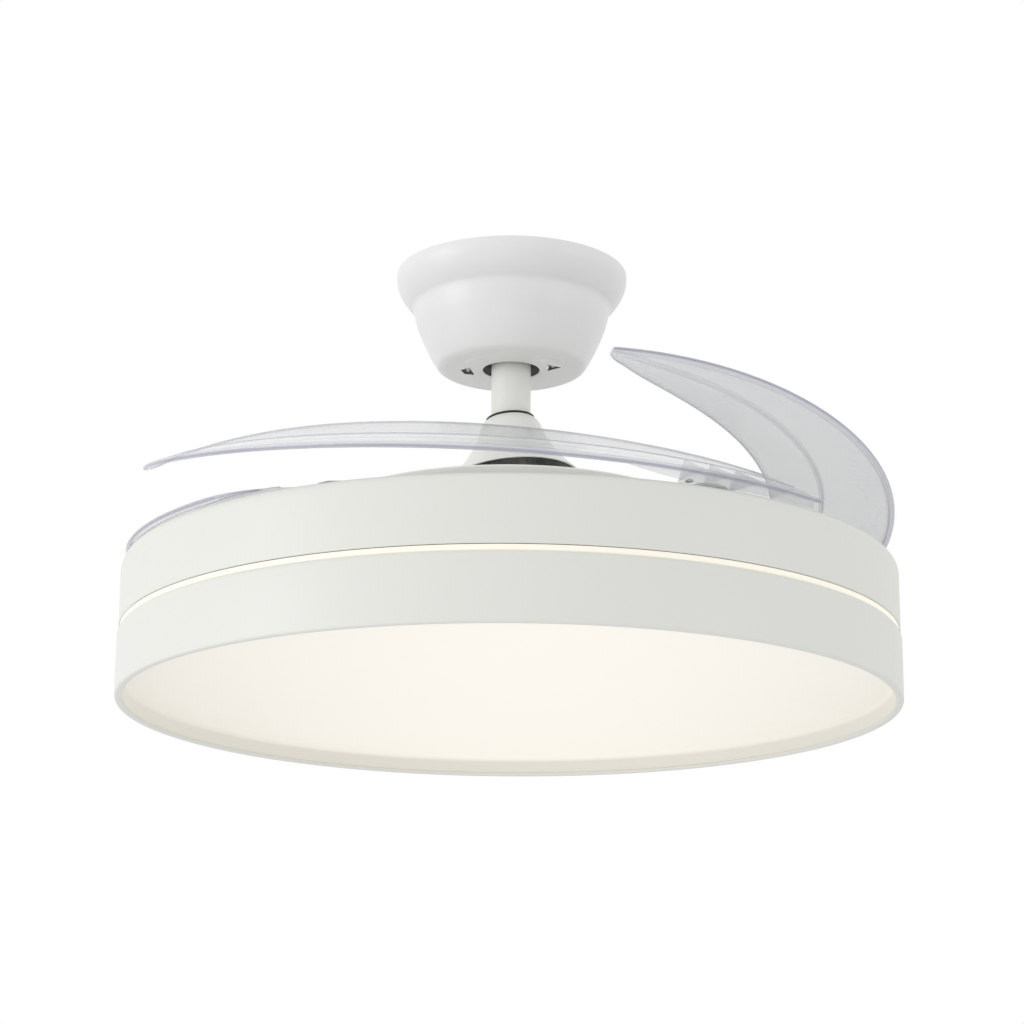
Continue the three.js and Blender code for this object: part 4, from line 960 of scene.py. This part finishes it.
clear = clear_plastic("clear_plastic")
low_moulding = whole_blade("low_moulding", low_height, low_rise, low_rib, 0.0, 1.005)
high_moulding = whole_blade("high_moulding", high_height, high_rise, high_rib, 2.3, 0.998, 0.07)
flat_heel_moulding = whole_blade(
    "flat_heel_moulding", flat_heel_height, flat_heel_rise, low_rib, 0.0, 1.0,
)
far_moulding = whole_blade("far_moulding", far_height, low_rise, low_rib, 0.0, 1.0)
mouldings = (low_moulding, high_moulding, far_moulding, flat_heel_moulding)
for index, (name, moulding) in enumerate(zip(BLADES, mouldings)):
    mesh = moulding.data.copy()
    mesh.name = f"blade_{name}_clear"
    mesh.transform(Matrix.Rotation(math.radians(heading(index)), 4, "Z"))
    blade = bpy.data.objects.new(f"blade_{name}_clear", mesh)
    bpy.context.scene.collection.objects.link(blade)
    fitted(blade, clear, f"blade_{name}", "clear_plastic", f"blade_{name}")
    root_screws = [
        round_about(r, -degrees, SHELF_TOP + 0.05, heading(index))
        for r, degrees in ((188.8, 12.3), (195.5, 13.9), (196.5, 18.9))
    ]
    screwed(
        f"root_screws_{name}", root_screws, 2.4, 11 + index, bright_steel, f"blade_{name}",
        "bright_steel",
    )
for moulding in mouldings:
    bpy.data.objects.remove(moulding)

# ---------------------------------------------------------------------------
# Lamp body. A spool shaped steel pan hangs from the shaft by a washer and nut.
# Two rolled steel bands ride on its edges, with the glow ring between them.
drum_paint = white_paint("drum_paint", (0.775, 0.785, 0.74), (0.76, 0.77, 0.725), 0.46, 0.00004)
dressed("lamp_chassis", drum_paint)
chassis_screws = [round_about(225, 45 * k, -208.35) for k in range(8)]
screwed("chassis_screws", chassis_screws, 3, 7, bright_steel, "ceiling_and_lamp", "bright_steel")
bpy.data.objects.remove(pan_head)
dressed("shaft_washer", bright_steel)
dressed("shaft_nut", bright_steel)
band_steps = 360
upper_band = turned("band_upper", [
    (249.2, -248.9, 0.7), (249.2, -206.8, 6.5), (228, -206.8, 0.6), (228, -208, 0.5),
    (247.7, -208, 5.4), (247.7, -248.9, 0.5),
], band_steps, 8)
fitted(upper_band, drum_paint, "ceiling_and_lamp", "white_paint", "upper_band")
lower_band = turned("band_lower", [
    (245, -293.4, 0.5), (246, -DROP, 0.5), (250, -DROP, 1.8), (250, -252.9, 2.6),
    (238, -252.9, 0.4), (238, -254.4, 0.4), (248.5, -254.4, 0.5), (248.5, -292.1, 0.3),
    (245, -292.1, 0.3),
], band_steps, 5)
fitted(lower_band, drum_paint, "ceiling_and_lamp", "white_paint", "lower_band")

# ---------------------------------------------------------------------------
# Glow ring. A thin ring of cream acrylic, held between the two steel bands and
# lit from inside the lamp.


def lit_plastic(name, colour, glow, strength, clouds, wall_height=-1.0, fade=0.0):
    """Opal plastic with light behind it, slightly uneven over its face. Below the wall
    height, in metres, its light is weaker, and so it is towards the two sides."""

    def dimmed(share):
        return tuple(channel * share for channel in glow)

    lit = Finish(name)
    face = lit.colours(lit.noise(clouds, 2), glow, dimmed(0.98))
    across = lit.node("ShaderNodeSeparateXYZ", {"Vector": lit.place()}, out="X")
    height = lit.node("ShaderNodeSeparateXYZ", {"Vector": lit.place()}, out="Z")
    sides = ((across * across * 8.0 - across * 0.25) * fade).kept()
    faded = lit.colours(sides, face, dimmed(0.5))
    wall = ((wall_height - height) * 400.0).kept()
    return lit.done({
        "Base Color": (*colour, 1),
        "Roughness": 0.4 + 0.1 * lit.noise(80, 2),
        "Emission Color": lit.colours(wall, faded, dimmed(0.58)),
        "Emission Strength": strength,
    })


glow_ring = turned("glow_strip", [
    (236, -252.6, 0.3), (248.4, -252.6, 0.5), (248.4, -249.2, 0.5), (236, -249.2, 0.3),
], band_steps, 3)
cream = lit_plastic("cream_acrylic", (0.6, 0.57, 0.5), (1.0, 0.96, 0.86), 0.44, 14)
fitted(glow_ring, cream, "ceiling_and_lamp", "glow_acrylic", "glow_ring")

# ---------------------------------------------------------------------------
# Light board and control boxes. A round white circuit board under the pan, and the
# plastic boxes of driver and controller above it, all out of sight in the lamp.
dressed("led_board", moulded("board_white", (0.75, 0.75, 0.72), 0.4))
dressed("led_driver", grey_plastic)
dressed("fan_controller", black_plastic)

# ---------------------------------------------------------------------------
# Diffuser. A shallow pan of opal acrylic that rests on the lower band's rolled
# rim, with its face set back above it.
pan_face = -281
diffuser = turned("opal_pan", [
    (0, pan_face, 0), (243.1, pan_face, 2.5), (246.1, -291.8, 0.4), (247.5, -291.8, 0.4),
    (245.9, pan_face + 2, 2), (0, pan_face + 2, 0),
], band_steps, 5)
opal = lit_plastic(
    "opal_acrylic", (0.5, 0.48, 0.44), (1.0, 0.965, 0.87), 0.5, 4,
    wall_height=(pan_face - 1) * MM, fade=1.0,
)
fitted(diffuser, opal, "ceiling_and_lamp", "opal_acrylic", "diffuser")

# ---------------------------------------------------------------------------
# Studio. A pale floor far below, a white surround, and soft lamps, of which the
# one on the left is the strongest.
floor_half, floor_depth = 9, -1.25
floor_mesh = bpy.data.meshes.new("studio_floor")
floor_mesh.from_pydata(
    [
        (x * floor_half, y * floor_half, floor_depth)
        for x, y in ((-1, -1), (1, -1), (1, 1), (-1, 1))
    ],
    [], [(0, 1, 2, 3)],
)
floor = bpy.data.objects.new("studio_floor", floor_mesh)
bpy.context.scene.collection.objects.link(floor)
floor_finish = Finish("studio_floor")
floor_finish.done({"Base Color": (0.92, 0.92, 0.92, 1), "Roughness": 0.9})
floor_mesh.materials.append(floor_finish.material)

bpy.context.scene.view_settings.view_transform = "Standard"
world = bpy.data.worlds.new("studio")
bpy.context.scene.world = world
world.use_nodes = True
sky = world.node_tree
sky.nodes.clear()
path = sky.nodes.new("ShaderNodeLightPath")
seen = Wire(sky, path.outputs["Is Camera Ray"])
seen = seen + Wire(sky, path.outputs["Is Glossy Ray"])
seen = (seen + Wire(sky, path.outputs["Is Transmission Ray"])).kept()
both = sky.nodes.new("ShaderNodeMixShader")
sky.links.new(seen.socket, both.inputs[0])
# The surround lights the fan with 0.8 and is seen, and reflected, at 1.0
for place, strength in ((1, 0.8), (2, 1.0)):
    background = sky.nodes.new("ShaderNodeBackground")
    background.inputs["Color"].default_value = (1, 1, 1, 1)
    background.inputs["Strength"].default_value = strength
    sky.links.new(background.outputs[0], both.inputs[place])
surround = sky.nodes.new("ShaderNodeOutputWorld")
sky.links.new(both.outputs[0], surround.inputs["Surface"])


def soft_lamp(name, place, aim, size, power):
    """A round lamp turned towards its aim."""
    light = bpy.data.lights.new(name, "AREA")
    light.shape = "DISK"
    light.size = size
    light.energy = power
    lamp = bpy.data.objects.new(name, light)
    lamp.location = place
    lamp.rotation_euler = (Vector(aim) - Vector(place)).to_track_quat("-Z", "Y").to_euler()
    bpy.context.scene.collection.objects.link(lamp)


soft_lamp("left_softbox", (-2.5, -1.1, -0.1), (0, 0, -0.24), 1.6, 17)
soft_lamp("front_softbox", (-0.5, -1.75, -1.2), (0, 0, -0.05), 1.2, 2.2)
soft_lamp("right_softbox", (2.3, -1.5, -0.1), (0, 0, -0.24), 1.2, 3.8)
